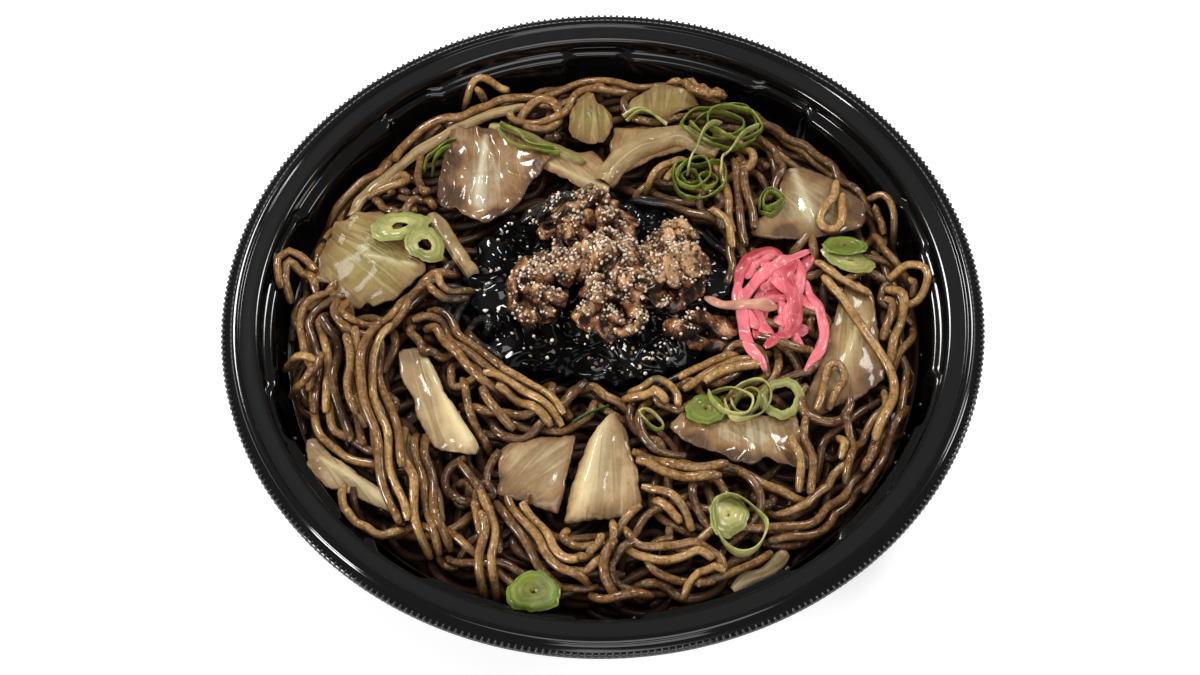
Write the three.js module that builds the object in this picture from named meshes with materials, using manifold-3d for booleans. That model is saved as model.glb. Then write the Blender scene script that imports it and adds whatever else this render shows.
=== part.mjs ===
// Yakisoba in a round black plastic bowl: brown noodles heaped to the shoulder, a pool of black sauce
// with pork in the middle, cabbage, spring onion and a tuft of red pickled ginger.
// Millimetres, +Z up, origin at the centre of the bowl's foot. +Y is the far side of the serving.
import * as THREE from "three";
import { mergeVertices } from "three/addons/utils/BufferGeometryUtils.js";
import Module from "manifold-3d";

const wasm = await Module();
wasm.setup();

// ---------------------------------------------------------------- driving sizes
const RIM_RADIUS = 100;
const RIM_HEIGHT = 45;
const FOOT_RADIUS = 62;
const FLOOR_RADIUS = 58;
const FLOOR_HEIGHT = 3;
const WALL = 1.2;
const SHOULDER = { inset: 13.7, drop: 8.5 }; // foot of the stacking shoulder, measured from the rim
const BOWL_SEGMENTS = 50;

const POCKETS = 10; // gaps in the stacking shoulder
const POCKET_DEPTH = 1.7;
const POCKET_FOOT = 27; // heights between which a pocket is let into the wall
const POCKET_TOP = 40;

const HEAP_RADIUS = 82.5;
const HEAP_SEGMENTS = 38;
const FIT = 0.5; // free gap between two separate pieces
const NOODLE_RADIUS = 1.4;
const NOODLE_SIDES = 5;
const NOODLE_STEP = 5;
const NOODLE_COUNT = 42;
const SHORTEST_NOODLE = 24;
const STRAND_GAP = 1.9; // least distance between two strands, in noodle radii
const TOPPING_GAP = 1.8; // distance that a strand keeps from whatever lies on the heap

const SAUCE = { x: 1, y: 8, rx: 34.5, ry: 29, thick: 2.9 };
const LEAF = 1.1; // thickness of a cooked leaf

const UP = new THREE.Vector3(0, 0, 1);
const radians = THREE.MathUtils.degToRad;
const { lerp, clamp, smoothstep } = THREE.MathUtils;

// A seeded random number maker, so that every run gives the same serving.
function seeded(seed) {
  let state = seed >>> 0;
  return () => {
    state = (state + 0x6d2b79f5) >>> 0;
    let t = Math.imul(state ^ (state >>> 15), 1 | state);
    t = (t + Math.imul(t ^ (t >>> 7), 61 | t)) ^ t;
    return ((t ^ (t >>> 14)) >>> 0) / 4294967296;
  };
}

// ---------------------------------------------------------------- materials
const plain = (color, roughness) => new THREE.MeshStandardMaterial({ color, roughness, metalness: 0 });
const blackPlastic = plain(0x121314, 0.38);
const noodleBrown = plain(0x7d5a34, 0.45);
const sauceBlack = plain(0x0c0b0a, 0.18);
const porkBrown = plain(0x7a4b30, 0.5);
const leafPale = plain(0xb9a878, 0.35);
const leafGreen = plain(0xa9ab62, 0.35);
const stemCream = plain(0xd8cfa0, 0.35);
const onionGreen = plain(0x8cb040, 0.35);
const onionPale = plain(0xb5c47c, 0.35);
const onionDark = plain(0x2c5a26, 0.35);
const gingerPink = plain(0xe0637a, 0.4);

// ---------------------------------------------------------------- solids
// A closed three.js geometry as a manifold-3d solid: shared corners merged, collapsed faces dropped.
function solidOf(geometry) {
  const bare = new THREE.BufferGeometry().setAttribute("position", geometry.getAttribute("position"));
  if (geometry.index) bare.setIndex(geometry.index);
  const merged = mergeVertices(bare, 1e-3);
  const index = merged.index.array;
  const kept = [];
  for (let i = 0; i < index.length; i += 3) {
    const [a, b, c] = [index[i], index[i + 1], index[i + 2]];
    if (a !== b && b !== c && c !== a) kept.push(a, b, c);
  }
  const make = (triangles) =>
    new wasm.Manifold(
      new wasm.Mesh({
        numProp: 3,
        vertProperties: merged.attributes.position.array,
        triVerts: new Uint32Array(triangles),
      }),
    );
  const solid = make(kept);
  return solid.volume() < 0 ? make(kept.reverse()) : solid;
}

// A manifold-3d solid as a three.js geometry.
function geometryOf(solid) {
  const { vertProperties, triVerts, numProp } = solid.getMesh();
  const corners = new Float32Array((vertProperties.length / numProp) * 3);
  for (let i = 0; i < corners.length / 3; i++) {
    corners.set(vertProperties.subarray(i * numProp, i * numProp + 3), i * 3);
  }
  return new THREE.BufferGeometry()
    .setAttribute("position", new THREE.BufferAttribute(corners, 3))
    .setIndex(new THREE.BufferAttribute(triVerts, 1));
}

const largest = (solid) =>
  solid.decompose().reduce((best, one) => (one.volume() > best.volume() ? one : best));

// ---------------------------------------------------------------- the serving and its height map
const yakisoba = new THREE.Group();

// The highest surface laid so far over each cell of the bowl's plan.
class HeightMap {
  constructor(reach = 95, cell = 1) {
    this.reach = reach;
    this.cell = cell;
    this.count = Math.ceil((2 * reach) / cell);
    this.heights = new Float32Array(this.count * this.count).fill(-Infinity);
  }
  column(value) {
    return clamp(Math.floor((value + this.reach) / this.cell), 0, this.count - 1);
  }
  // The highest surface within radius of a point.
  over(x, y, radius) {
    let highest = -Infinity;
    for (let j = this.column(y - radius); j <= this.column(y + radius); j++) {
      for (let i = this.column(x - radius); i <= this.column(x + radius); i++) {
        highest = Math.max(highest, this.heights[j * this.count + i]);
      }
    }
    return highest;
  }
  // Lifts the map to a geometry's faces, and a little beyond their edges.
  raise(geometry) {
    const position = geometry.getAttribute("position");
    const corner = (k) => new THREE.Vector3().fromBufferAttribute(position, geometry.index.getX(k));
    for (let k = 0; k < geometry.index.count; k += 3) {
      const [a, b, c] = [corner(k), corner(k + 1), corner(k + 2)];
      const area = (b.x - a.x) * (c.y - a.y) - (c.x - a.x) * (b.y - a.y);
      if (Math.abs(area) < 1e-6) continue;
      const [left, right] = [Math.min(a.x, b.x, c.x), Math.max(a.x, b.x, c.x)].map((x) => this.column(x));
      const [low, high] = [Math.min(a.y, b.y, c.y), Math.max(a.y, b.y, c.y)].map((y) => this.column(y));
      for (let j = low; j <= high; j++) {
        for (let i = left; i <= right; i++) {
          const x = (i + 0.5) * this.cell - this.reach;
          const y = (j + 0.5) * this.cell - this.reach;
          const toB = ((x - a.x) * (c.y - a.y) - (c.x - a.x) * (y - a.y)) / area;
          const toC = ((b.x - a.x) * (y - a.y) - (x - a.x) * (b.y - a.y)) / area;
          const shares = [1 - toB - toC, toB, toC].map((share) => Math.max(0, share));
          const total = shares[0] + shares[1] + shares[2];
          const near = new THREE.Vector3();
          [a, b, c].forEach((one, n) => near.addScaledVector(one, shares[n] / total));
          if (Math.hypot(near.x - x, near.y - y) > this.cell * 0.75) continue;
          const at = j * this.count + i;
          this.heights[at] = Math.max(this.heights[at], near.z);
        }
      }
    }
  }
}

const ground = new HeightMap(); // the heap and everything on it
const toppings = new HeightMap(); // what lies on the heap, without the heap

function serve(name, geometry, material, isTopping = true) {
  const mesh = new THREE.Mesh(geometry, material);
  mesh.name = name;
  yakisoba.add(mesh);
  if (isTopping) {
    ground.raise(geometry);
    toppings.raise(geometry);
  }
  return mesh;
}

// ---------------------------------------------------------------- bowl
// Inside of the wall from the bead inwards and down, as [radius, height]: bead, lid channel, upper ledge,
// stacking shoulder, then a curved wall down to the floor.
function insideOutline() {
  const R = RIM_RADIUS;
  const H = RIM_HEIGHT;
  const steps = [
    [R - 3.2, H],
    [R - 4.4, H],
    [R - 4.9, H - 0.7],
    [R - 8.2, H - 0.7],
    [R - 9.7, H - 1.4],
    [R - 10.2, H - 4.2],
    [R - 11.2, H - 4.8],
    [R - 13.1, H - 5.4],
    [R - SHOULDER.inset, H - SHOULDER.drop],
  ];
  return [...steps, ...wallCurve(0), [FLOOR_RADIUS, FLOOR_HEIGHT]];
}

// The wall between shoulder and floor, moved outwards by offset: steep at the shoulder, round at the foot.
function wallCurve(offset) {
  const waysDown = [0.31, 0.62, 0.94];
  return waysDown.map((t) => {
    const radius = lerp(RIM_RADIUS - SHOULDER.inset, FLOOR_RADIUS + 2, t ** 1.7);
    const height = lerp(RIM_HEIGHT - SHOULDER.drop, FLOOR_HEIGHT, t ** 0.95);
    return [radius + offset, height - offset * 0.3];
  });
}

// Outside of the wall from the knurled lip inwards and down to the foot ring.
function outsideOutline() {
  const R = RIM_RADIUS;
  const H = RIM_HEIGHT;
  return [
    [R - 2.4, H - 0.9],
    [R, H - 1.9],
    [R, H - 3.1],
    [R - 1.2, H - 3.1],
    [R - 2.6, H - 1.9],
    [R - 8.4, H - 2],
    [R - 9, H - 5.1],
    [R - 11.8, H - 6.6],
    [R - 12.4, H - 9],
    ...wallCurve(WALL + 0.1),
    [FOOT_RADIUS + 1.5, 1.4],
    [FOOT_RADIUS, 0],
    [FOOT_RADIUS - 4, 0],
    [FOOT_RADIUS - 6, FLOOR_HEIGHT - WALL],
  ];
}

// How far the wall steps out in a stacking pocket, from 0 to 1, at an angle round the bowl.
function pocketAt(angle) {
  const turn = ((angle * POCKETS) / (2 * Math.PI) + POCKETS) % 1;
  return Math.abs(turn - 0.5) < 0.15 ? 1 : 0;
}

function bowl() {
  const inside = insideOutline().reverse();
  const outline = [[0, FLOOR_HEIGHT], ...inside, ...outsideOutline(), [0, FLOOR_HEIGHT - WALL]];
  const points = outline.map(([radius, height]) => new THREE.Vector2(radius, height));
  const geometry = new THREE.LatheGeometry(points, BOWL_SEGMENTS).rotateX(Math.PI / 2);
  const position = geometry.getAttribute("position");
  for (let i = 0; i < position.count; i++) {
    const [x, y, z] = [position.getX(i), position.getY(i), position.getZ(i)];
    const radius = Math.hypot(x, y);
    if (radius < FOOT_RADIUS || z > POCKET_TOP || z < POCKET_FOOT) continue;
    const reach = smoothstep(z, POCKET_FOOT - 2, POCKET_TOP - 6);
    const grown = (radius + POCKET_DEPTH * reach * pocketAt(Math.atan2(y, x))) / radius;
    position.setXYZ(i, x * grown, y * grown, z);
  }
  serve("bowl", geometryOf(solidOf(geometry)), blackPlastic, false);
}

// ---------------------------------------------------------------- heap of noodles
// Top of the bare heap: a flat dome that falls off towards the wall, as [radius, drop below the rim].
const DOME = [
  [0, 5.5],
  [18, 5.2],
  [38, 4.3],
  [55, 4.4],
  [66, 5.8],
  [75, 8],
  [80, 9.8],
  [HEAP_RADIUS, 13],
];

function heapTop(x, y) {
  const radius = Math.min(Math.hypot(x, y), HEAP_RADIUS);
  const k = Math.max(1, DOME.findIndex(([r]) => r >= radius));
  const [[r0, d0], [r1, d1]] = [DOME[k - 1], DOME[k]];
  const drop = lerp(d0, d1, (radius - r0) / (r1 - r0));
  const lumps = 0.5 * Math.sin(x / 9 + 1) * Math.cos(y / 11) * smoothstep(80 - radius, 0, 12);
  return RIM_HEIGHT - drop + lumps;
}

function heapCore() {
  const side = wallCurve(-FIT)
    .reverse()
    .map(([radius, height]) => new THREE.Vector2(radius, height + FIT));
  const top = DOME.map(([radius, drop]) => new THREE.Vector2(radius, RIM_HEIGHT - drop)).reverse();
  const floor = FLOOR_HEIGHT + FIT;
  const outline = [new THREE.Vector2(0, floor), new THREE.Vector2(FLOOR_RADIUS - 2, floor), ...side, ...top];
  const geometry = new THREE.LatheGeometry(outline, HEAP_SEGMENTS).rotateX(Math.PI / 2);
  const position = geometry.getAttribute("position");
  for (let i = 0; i < position.count; i++) {
    const [x, y, z] = [position.getX(i), position.getY(i), position.getZ(i)];
    const onTop = z > RIM_HEIGHT - DOME[DOME.length - 1][1] - 0.01;
    if (onTop) position.setZ(i, heapTop(x, y));
  }
  return geometryOf(solidOf(geometry));
}

// A strand's way over the heap: it starts along the wall, turns back from wall and middle, and wavers.
function strandPath(random) {
  const startAngle = random() * 2 * Math.PI;
  const startRadius = HEAP_RADIUS * Math.sqrt(lerp(0.3, 0.95, random()));
  const side = random() < 0.5 ? 1 : -1;
  const [waver, wave, phase] = [0.02 + 0.05 * random(), 14 + 16 * random(), random() * 6];
  const length = 50 + 45 * random();
  let heading = startAngle + side * (Math.PI / 2 + random() - 0.5);
  let place = new THREE.Vector2(startRadius * Math.cos(startAngle), startRadius * Math.sin(startAngle));
  const points = [place];
  for (let s = 0; s < length; s += NOODLE_STEP) {
    const outwards = Math.atan2(place.y, place.x);
    const leaning = Math.cos(outwards - heading);
    const radius = place.length();
    const wanted = 0.5 * (smoothstep(SAUCE.rx + 15 - radius, 0, 14) - smoothstep(radius, 68, HEAP_RADIUS));
    const round = Math.sin(heading - outwards) >= 0 ? 1 : -1;
    heading += round * (1 / radius + 0.07 * (leaning - wanted)) * NOODLE_STEP;
    heading += waver * Math.sin((s / wave) * Math.PI + phase) * NOODLE_STEP;
    place = new THREE.Vector2(Math.cos(heading), Math.sin(heading)).multiplyScalar(NOODLE_STEP).add(place);
    points.push(place);
  }
  return points;
}

// The longest stretch of a path that is clear of toppings, of the wall and of the strands already there.
function clearStretch(points, taken) {
  let [best, run] = [[], []];
  for (const point of points) {
    const covered = toppings.over(point.x, point.y, TOPPING_GAP) > -Infinity;
    const outside = point.length() > HEAP_RADIUS - FIT;
    const shared = taken.some((other) => other.distanceTo(point) < NOODLE_RADIUS * STRAND_GAP);
    if (covered || outside || shared) run = [];
    else run.push(point);
    if (run.length > best.length) best = run;
  }
  return best;
}

// A strand half sunk in the heap, with both ends dipping into it.
function strand(points) {
  const [sunkEnd, proudMiddle] = [-1.1 * NOODLE_RADIUS, 0.8 * NOODLE_RADIUS];
  const line = points.map(({ x, y }, i) => {
    const isEnd = i === 0 || i === points.length - 1;
    return new THREE.Vector3(x, y, heapTop(x, y) + (isEnd ? sunkEnd : proudMiddle));
  });
  const corners = [];
  for (let i = 0; i < NOODLE_SIDES; i++) {
    const angle = (i / NOODLE_SIDES) * 2 * Math.PI;
    corners.push(new THREE.Vector2(NOODLE_RADIUS * Math.cos(angle), NOODLE_RADIUS * Math.sin(angle)));
  }
  const extrudePath = new THREE.CatmullRomCurve3(line);
  return new THREE.ExtrudeGeometry(new THREE.Shape(corners), { steps: line.length - 1, extrudePath });
}

function noodles(core) {
  const random = seeded(7);
  const others = yakisoba.children.map((mesh) => solidOf(mesh.geometry));
  const taken = [];
  let heap = solidOf(core);
  for (let made = 0, tries = 0; made < NOODLE_COUNT && tries < NOODLE_COUNT * 60; tries++) {
    const stretch = clearStretch(strandPath(random), taken);
    if (stretch.length * NOODLE_STEP < SHORTEST_NOODLE) continue;
    const solid = solidOf(strand(stretch));
    if (others.some((other) => solid.intersect(other).volume() > 0)) continue;
    heap = heap.add(solid);
    taken.push(...stretch);
    made++;
  }
  serve("noodles", geometryOf(largest(heap)), noodleBrown, false);
}

// ---------------------------------------------------------------- pieces that lie on the heap
// The highest surface near a point; beyond the heap's edge, the height of that edge.
const under = (x, y, reach) => Math.max(ground.over(x, y, reach), heapTop(x, y));

// Lays a patch over what is already there. plan(u, v) gives its place, thick(u, v) its thickness and
// lift(u, v) its waves. A round patch has u from its middle to its rim and v round it.
function laid({ across, along, round = false, reach = 2.5, plan, thick, lift = () => 0 }) {
  const rows = [];
  for (let i = 0; i <= across; i++) {
    const row = [];
    for (let j = 0; j <= along; j++) {
      const [u, v] = [i / across, j === along && round ? 0 : j / along];
      const [x, y] = plan(u, v);
      row.push({ x, y, u, v, low: under(x, y, reach) });
    }
    rows.push(row);
  }
  // A cooked leaf bridges dips: each point rises to at least the mean of its neighbours, less a little sag.
  const [sag, passes] = [0.25, 6];
  for (let pass = 0; pass < passes; pass++) {
    for (let i = 1; i < across; i++) {
      for (let j = 0; j <= along; j++) {
        const mean = (rows[i - 1][j].low + rows[i + 1][j].low) / 2;
        rows[i][j].low = Math.max(rows[i][j].low, mean - sag);
      }
    }
  }
  const middle = round ? Math.max(...rows[0].map((p) => p.low)) : 0;
  const corners = [];
  for (const top of [0, 1]) {
    for (const row of rows) {
      for (const p of row) {
        const low = round && p.u === 0 ? middle : p.low;
        const wave = round && p.u === 0 ? lift(0, 0) : lift(p.u, p.v);
        corners.push(p.x, p.y, low + FIT + wave + top * thick(p.u, round && p.u === 0 ? 0 : p.v));
      }
    }
  }
  const width = along + 1;
  const layer = (across + 1) * width;
  const at = (i, j, top) => top * layer + i * width + (round ? j % along : j);
  const faces = [];
  const quad = (a, b, c, d) => faces.push(a, b, c, a, c, d);
  for (let i = 0; i < across; i++) {
    for (let j = 0; j < along; j++) {
      quad(at(i, j, 1), at(i + 1, j, 1), at(i + 1, j + 1, 1), at(i, j + 1, 1));
      faces.push(at(i, j, 0), at(i + 1, j + 1, 0), at(i + 1, j, 0));
      faces.push(at(i, j, 0), at(i, j + 1, 0), at(i + 1, j + 1, 0));
    }
  }
  for (let j = 0; j < along; j++) {
    quad(at(across, j, 0), at(across, j + 1, 0), at(across, j + 1, 1), at(across, j, 1));
    if (!round) quad(at(0, j + 1, 0), at(0, j, 0), at(0, j, 1), at(0, j + 1, 1));
  }
  if (!round) {
    for (let i = 0; i < across; i++) {
      quad(at(i, 0, 0), at(i + 1, 0, 0), at(i + 1, 0, 1), at(i, 0, 1));
      quad(at(i + 1, along, 0), at(i, along, 0), at(i, along, 1), at(i + 1, along, 1));
    }
  }
  const geometry = new THREE.BufferGeometry();
  geometry.setAttribute("position", new THREE.Float32BufferAttribute(corners, 3));
  geometry.setIndex(faces);
  return geometryOf(solidOf(geometry));
}

// A piece's own frame: x along its length, y across it, turned by heading degrees about its middle.
function placed({ x, y, heading }) {
  const [cos, sin] = [Math.cos(radians(heading)), Math.sin(radians(heading))];
  return (a, b) => [x + a * cos - b * sin, y + a * sin + b * cos];
}

// A cut piece of cabbage leaf. taper narrows one end, rib thickens the middle, pleats are its folds.
function leaf({ length, width, taper = 0, rib = 0, pleats = 2, seed = 1, along = 5, ...at }) {
  const put = placed(at);
  const wave = 0.9;
  const random = seeded(seed);
  const [p, q, r] = [random() * 6, random() * 6, random() * 6];
  return laid({
    across: 4,
    along,
    plan: (u, v) => {
      const [a, b] = [u - 0.5, v - 0.5];
      const ragged = 1 + 0.1 * Math.sin(7 * v + p) * (u > 0.5 ? 1 : -1) * Math.abs(a);
      const narrow = 1 - taper * (u - 0.5) * 1.2;
      const bowed = 1 - 0.35 * b * b - 0.1 * Math.sin(5 * u + q);
      return put(length * a * bowed * ragged, width * b * narrow * (1 - 0.4 * a * a));
    },
    thick: (u, v) => LEAF + rib * Math.max(0, 1 - Math.abs(v - 0.5) * 5) * (1 - 0.5 * u),
    lift: (u, v) => wave * (1 + Math.sin(v * Math.PI * 2 * pleats + r + u * 2)) * (0.4 + Math.abs(u - 0.5)),
  });
}

// A shred that follows an arc: bend is the turn from end to end in degrees.
function shred({ length, width, thick = 1.6, bend = 0, rise = 0, along = 1, across = 8, ...at }) {
  const put = placed(at);
  const angle = radians(bend);
  const arc = (s) => {
    const turned = angle * s;
    const chord = Math.abs(turned) < 1e-6 ? length * s : ((2 * length) / angle) * Math.sin(turned / 2);
    return [chord * Math.cos(turned / 2), chord * Math.sin(turned / 2), turned];
  };
  return laid({
    across,
    along,
    plan: (u, v) => {
      const [a, b, turned] = arc(u - 0.5);
      const half = width * (v - 0.5) * (0.75 + 0.5 * u * (1 - u) * 2);
      return put(a - half * Math.sin(turned), b + half * Math.cos(turned));
    },
    thick: () => thick,
    lift: (u) => rise * Math.sin(u * Math.PI) ** 2,
  });
}

// A lumpy round mass such as sauce or a slice of meat: thin at its rim, folds deep.
function mound({ rx, ry, thick, edge, folds, lobes, seed, rings, spokes, ...at }) {
  const put = placed({ heading: 0, ...at });
  const random = seeded(seed);
  const [p, q, r] = [random() * 6, random() * 6, random() * 6];
  return laid({
    across: rings,
    along: spokes,
    round: true,
    reach: Math.min(rx, ry) / rings / 1.6,
    plan: (u, v) => {
      const angle = v * 2 * Math.PI;
      const lobe = 1 + 0.1 * Math.sin(lobes * angle + p) + 0.06 * Math.sin((lobes + 3) * angle + q);
      return put(rx * u * lobe * Math.cos(angle), ry * u * lobe * Math.sin(angle));
    },
    thick: (u, v) => {
      const crown = edge + (thick - edge) * Math.sqrt(Math.max(0, 1 - u ** 2.4));
      const ripple = 1 + Math.sin(9 * u + r + lobes * v * Math.PI * 2);
      return crown + folds * ripple * (u === 0 ? 0.5 : 1 - u * 0.6);
    },
  });
}

// Grains of seasoning on a piece: small eight-sided solids sunk to their middles and fused to it.
function seasoned(geometry, count, seed, grain = 0.85) {
  const random = seeded(seed);
  const top = new HeightMap();
  top.raise(geometry);
  geometry.computeBoundingBox();
  const { min, max } = geometry.boundingBox;
  let solid = solidOf(geometry);
  for (let made = 0, tries = 0; made < count && tries < count * 12; tries++) {
    const [x, y] = [lerp(min.x, max.x, random()), lerp(min.y, max.y, random())];
    const z = top.over(x, y, 0.4);
    const inside = [0, 1, 2, 3].every((k) => {
      const angle = (k * Math.PI) / 2;
      return top.over(x + 2.2 * Math.cos(angle), y + 2.2 * Math.sin(angle), 0.4) > -Infinity;
    });
    if (z === -Infinity || !inside) continue;
    solid = solid.add(solidOf(new THREE.OctahedronGeometry(grain).translate(x, y, z - 0.1)));
    made++;
  }
  return geometryOf(largest(solid));
}

// A ring cut across a spring onion: a short oval tube, or a disc where it has no hole, set down on what
// lies under it and tilted to suit.
function onionRing({ x, y, rx, ry, wall = 1.2, tall = 1.6, heading = 0, segments = 12 }) {
  const samples = [];
  for (let k = 0; k < segments; k++) {
    const angle = (k / segments) * 2 * Math.PI;
    const [sx, sy] = placed({ x, y, heading })(rx * Math.cos(angle), ry * Math.sin(angle));
    samples.push(new THREE.Vector3(sx - x, sy - y, under(sx, sy, 1.6)));
  }
  const mean = (of) => samples.reduce((sum, p) => sum + of(p), 0) / samples.length;
  const level = mean((p) => p.z);
  const slopeX = clamp(mean((p) => p.x * (p.z - level)) / mean((p) => p.x * p.x), -0.35, 0.35);
  const slopeY = clamp(mean((p) => p.y * (p.z - level)) / mean((p) => p.y * p.y), -0.35, 0.35);
  const solidDisc = wall >= Math.min(rx, ry);
  const outline = solidDisc
    ? [
        [0, 0],
        [1, 0],
        [1, tall * 0.7],
        [0.6, tall],
        [0, tall],
      ]
    : [
        [1, 0],
        [1, tall],
        [1 - wall / rx, tall],
        [1 - wall / rx, 0],
        [1, 0],
      ];
  const points = outline.map(([radius, height]) => new THREE.Vector2(radius, height));
  const geometry = new THREE.LatheGeometry(points, segments).rotateX(Math.PI / 2);
  geometry.scale(rx, ry, 1).rotateZ(radians(heading));
  const normal = new THREE.Vector3(-slopeX, -slopeY, 1).normalize();
  geometry.applyQuaternion(new THREE.Quaternion().setFromUnitVectors(UP, normal));
  const reach = Math.max(rx, ry);
  let rest = -Infinity;
  for (let i = -3; i <= 3; i++) {
    for (let j = -3; j <= 3; j++) {
      const [dx, dy] = [(i / 3) * reach, (j / 3) * reach];
      if (Math.hypot(dx / rx, dy / ry) > 1.15 && heading === 0) continue;
      rest = Math.max(rest, under(x + dx, y + dy, 1.2) - slopeX * dx - slopeY * dy);
    }
  }
  return geometryOf(solidOf(geometry.translate(x, y, rest + FIT)));
}

// ---------------------------------------------------------------- middle: sauce, pork and grains
function middle() {
  const pool = mound({ ...SAUCE, edge: 1.2, folds: 0.5, lobes: 5, seed: 3, rings: 5, spokes: 18 });
  serve("black_sauce", seasoned(pool, 10, 5), sauceBlack);
  const slices = [
    { x: -16, y: 7, rx: 8.6, ry: 12, heading: 12, thick: 3.2 },
    { x: 2, y: -1, rx: 9.8, ry: 7.4, heading: -8, thick: 3 },
    { x: 1, y: 14, rx: 9.5, ry: 7.4, heading: 5, thick: 3.4 },
    { x: -4, y: 28, rx: 13, ry: 6.6, heading: -6, thick: 2.8 },
    { x: 19, y: 13, rx: 8.4, ry: 12, heading: -10, thick: 3.4 },
    { x: 26, y: -6, rx: 10.5, ry: 4.6, heading: 6, thick: 2 },
  ];
  slices.forEach((slice, i) => {
    const relief = { edge: 1.2, folds: 0.5, lobes: 3 + (i % 3), seed: 20 + i };
    const piece = mound({ ...slice, ...relief, rings: 3, spokes: 12 });
    serve(`pork_${i + 1}`, seasoned(piece, 4, 40 + i), porkBrown);
  });
}

// ---------------------------------------------------------------- cabbage
function cabbage() {
  const stem = { rib: 2.6, pleats: 1, material: stemCream };
  const leaves = [
    { x: -63, y: 20, length: 30, width: 27, heading: 20, seed: 11, material: leafGreen },
    { x: -30, y: 48, length: 31, width: 27, heading: -95, taper: 0.5, seed: 12, pleats: 1.5 },
    { x: 17, y: 70, length: 19, width: 13, heading: 5, seed: 13, material: leafGreen },
    { x: 61, y: 36, length: 23, width: 18, heading: -30, seed: 14, rib: 1.5, pleats: 1 },
    { x: 62, y: -13, length: 38, width: 19, heading: 68, taper: -0.3, seed: 15 },
    { x: 34, y: -39, length: 38, width: 14, heading: -9, seed: 16, pleats: 3, along: 7 },
    { x: -19, y: -48, length: 20, width: 17, heading: 4, seed: 17 },
    { x: 0, y: -47, length: 28, width: 17, heading: 84, taper: 0.8, seed: 18, ...stem },
    { x: -43, y: -22, length: 35, width: 11, heading: -58, seed: 19, rib: 1.4, pleats: 1 },
  ];
  leaves.forEach(({ material = leafPale, ...shape }, i) => {
    serve(`cabbage_leaf_${i + 1}`, leaf(shape), material);
  });
  const shreds = [
    { x: -50, y: 56, length: 62, width: 4.5, heading: 41, bend: -46, across: 12 },
    { x: 20, y: 52, length: 33, width: 6.5, heading: 8, bend: -40, thick: 2.6 },
    { x: -40, y: 24, length: 27, width: 4.6, heading: -62, bend: 8 },
    { x: -66, y: -39, length: 27, width: 4.2, heading: -34, bend: 22, thick: 2.2 },
    { x: -47, y: -46, length: 30, width: 3.6, heading: -68, bend: 14, thick: 2 },
    { x: -3, y: 68, length: 20, width: 5, heading: 66, bend: 20 },
    { x: 38, y: -72, length: 9, width: 4.5, heading: 30, across: 3 },
  ];
  shreds.forEach((shape, i) => serve(`cabbage_shred_${i + 1}`, shred(shape), leafPale));
}

// ---------------------------------------------------------------- spring onion
function springOnion() {
  const rings = [
    { x: -54, y: 29, rx: 7.6, ry: 4.6, wall: 2.6, heading: 8, material: onionPale },
    { x: -47, y: 22, rx: 4.9, ry: 4.6, wall: 2.2, material: onionPale },
    { x: 34, y: 62, rx: 11, ry: 6.8, wall: 1.3, heading: -12, segments: 16 },
    { x: 27, y: 43, rx: 8, ry: 6.4, wall: 1.5, heading: -20 },
    { x: 47, y: 35, rx: 4.4, ry: 4.6, wall: 1.1 },
    { x: 66, y: 15, rx: 7.2, ry: 4.2, wall: 9, heading: -6, material: onionPale },
    { x: 65, y: 18, rx: 6.6, ry: 3.8, wall: 9, tall: 1.1, heading: 12 },
    { x: 26, y: -31, rx: 5.6, ry: 4.4, wall: 9, tall: 2.4 },
    { x: 36, y: -28, rx: 5.8, ry: 5.2, wall: 1.6, heading: 20 },
    { x: 45, y: -27, rx: 5.4, ry: 5.6, wall: 2.2, material: onionPale },
    { x: 12, y: -32, rx: 3.8, ry: 2, wall: 0.7, heading: -40, material: onionPale },
    { x: 33, y: -62, rx: 7, ry: 6.6, wall: 1.6, heading: 30, material: onionPale },
    { x: -18, y: -77, rx: 6.4, ry: 5.4, wall: 9, tall: 2 },
  ];
  rings.forEach(({ material = onionGreen, ...shape }, i) => {
    serve(`onion_ring_${i + 1}`, onionRing(shape), material);
  });
  const slivers = [
    { x: -19, y: 60, length: 22, width: 2.8, heading: -26, bend: 10, thick: 1.2 },
    { x: -44, y: 54, length: 13, width: 2, heading: 45, bend: -110, thick: 1.2 },
    { x: 12, y: 64, length: 14, width: 2.2, heading: 0, bend: -50, thick: 1.2 },
    { x: -4, y: -29, length: 10, width: 3.4, heading: 28, bend: -20, thick: 1.1, material: onionDark },
  ];
  slivers.forEach(({ material = onionGreen, ...shape }, i) => {
    serve(`onion_sliver_${i + 1}`, shred({ across: 6, ...shape }), material);
  });
}

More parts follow.
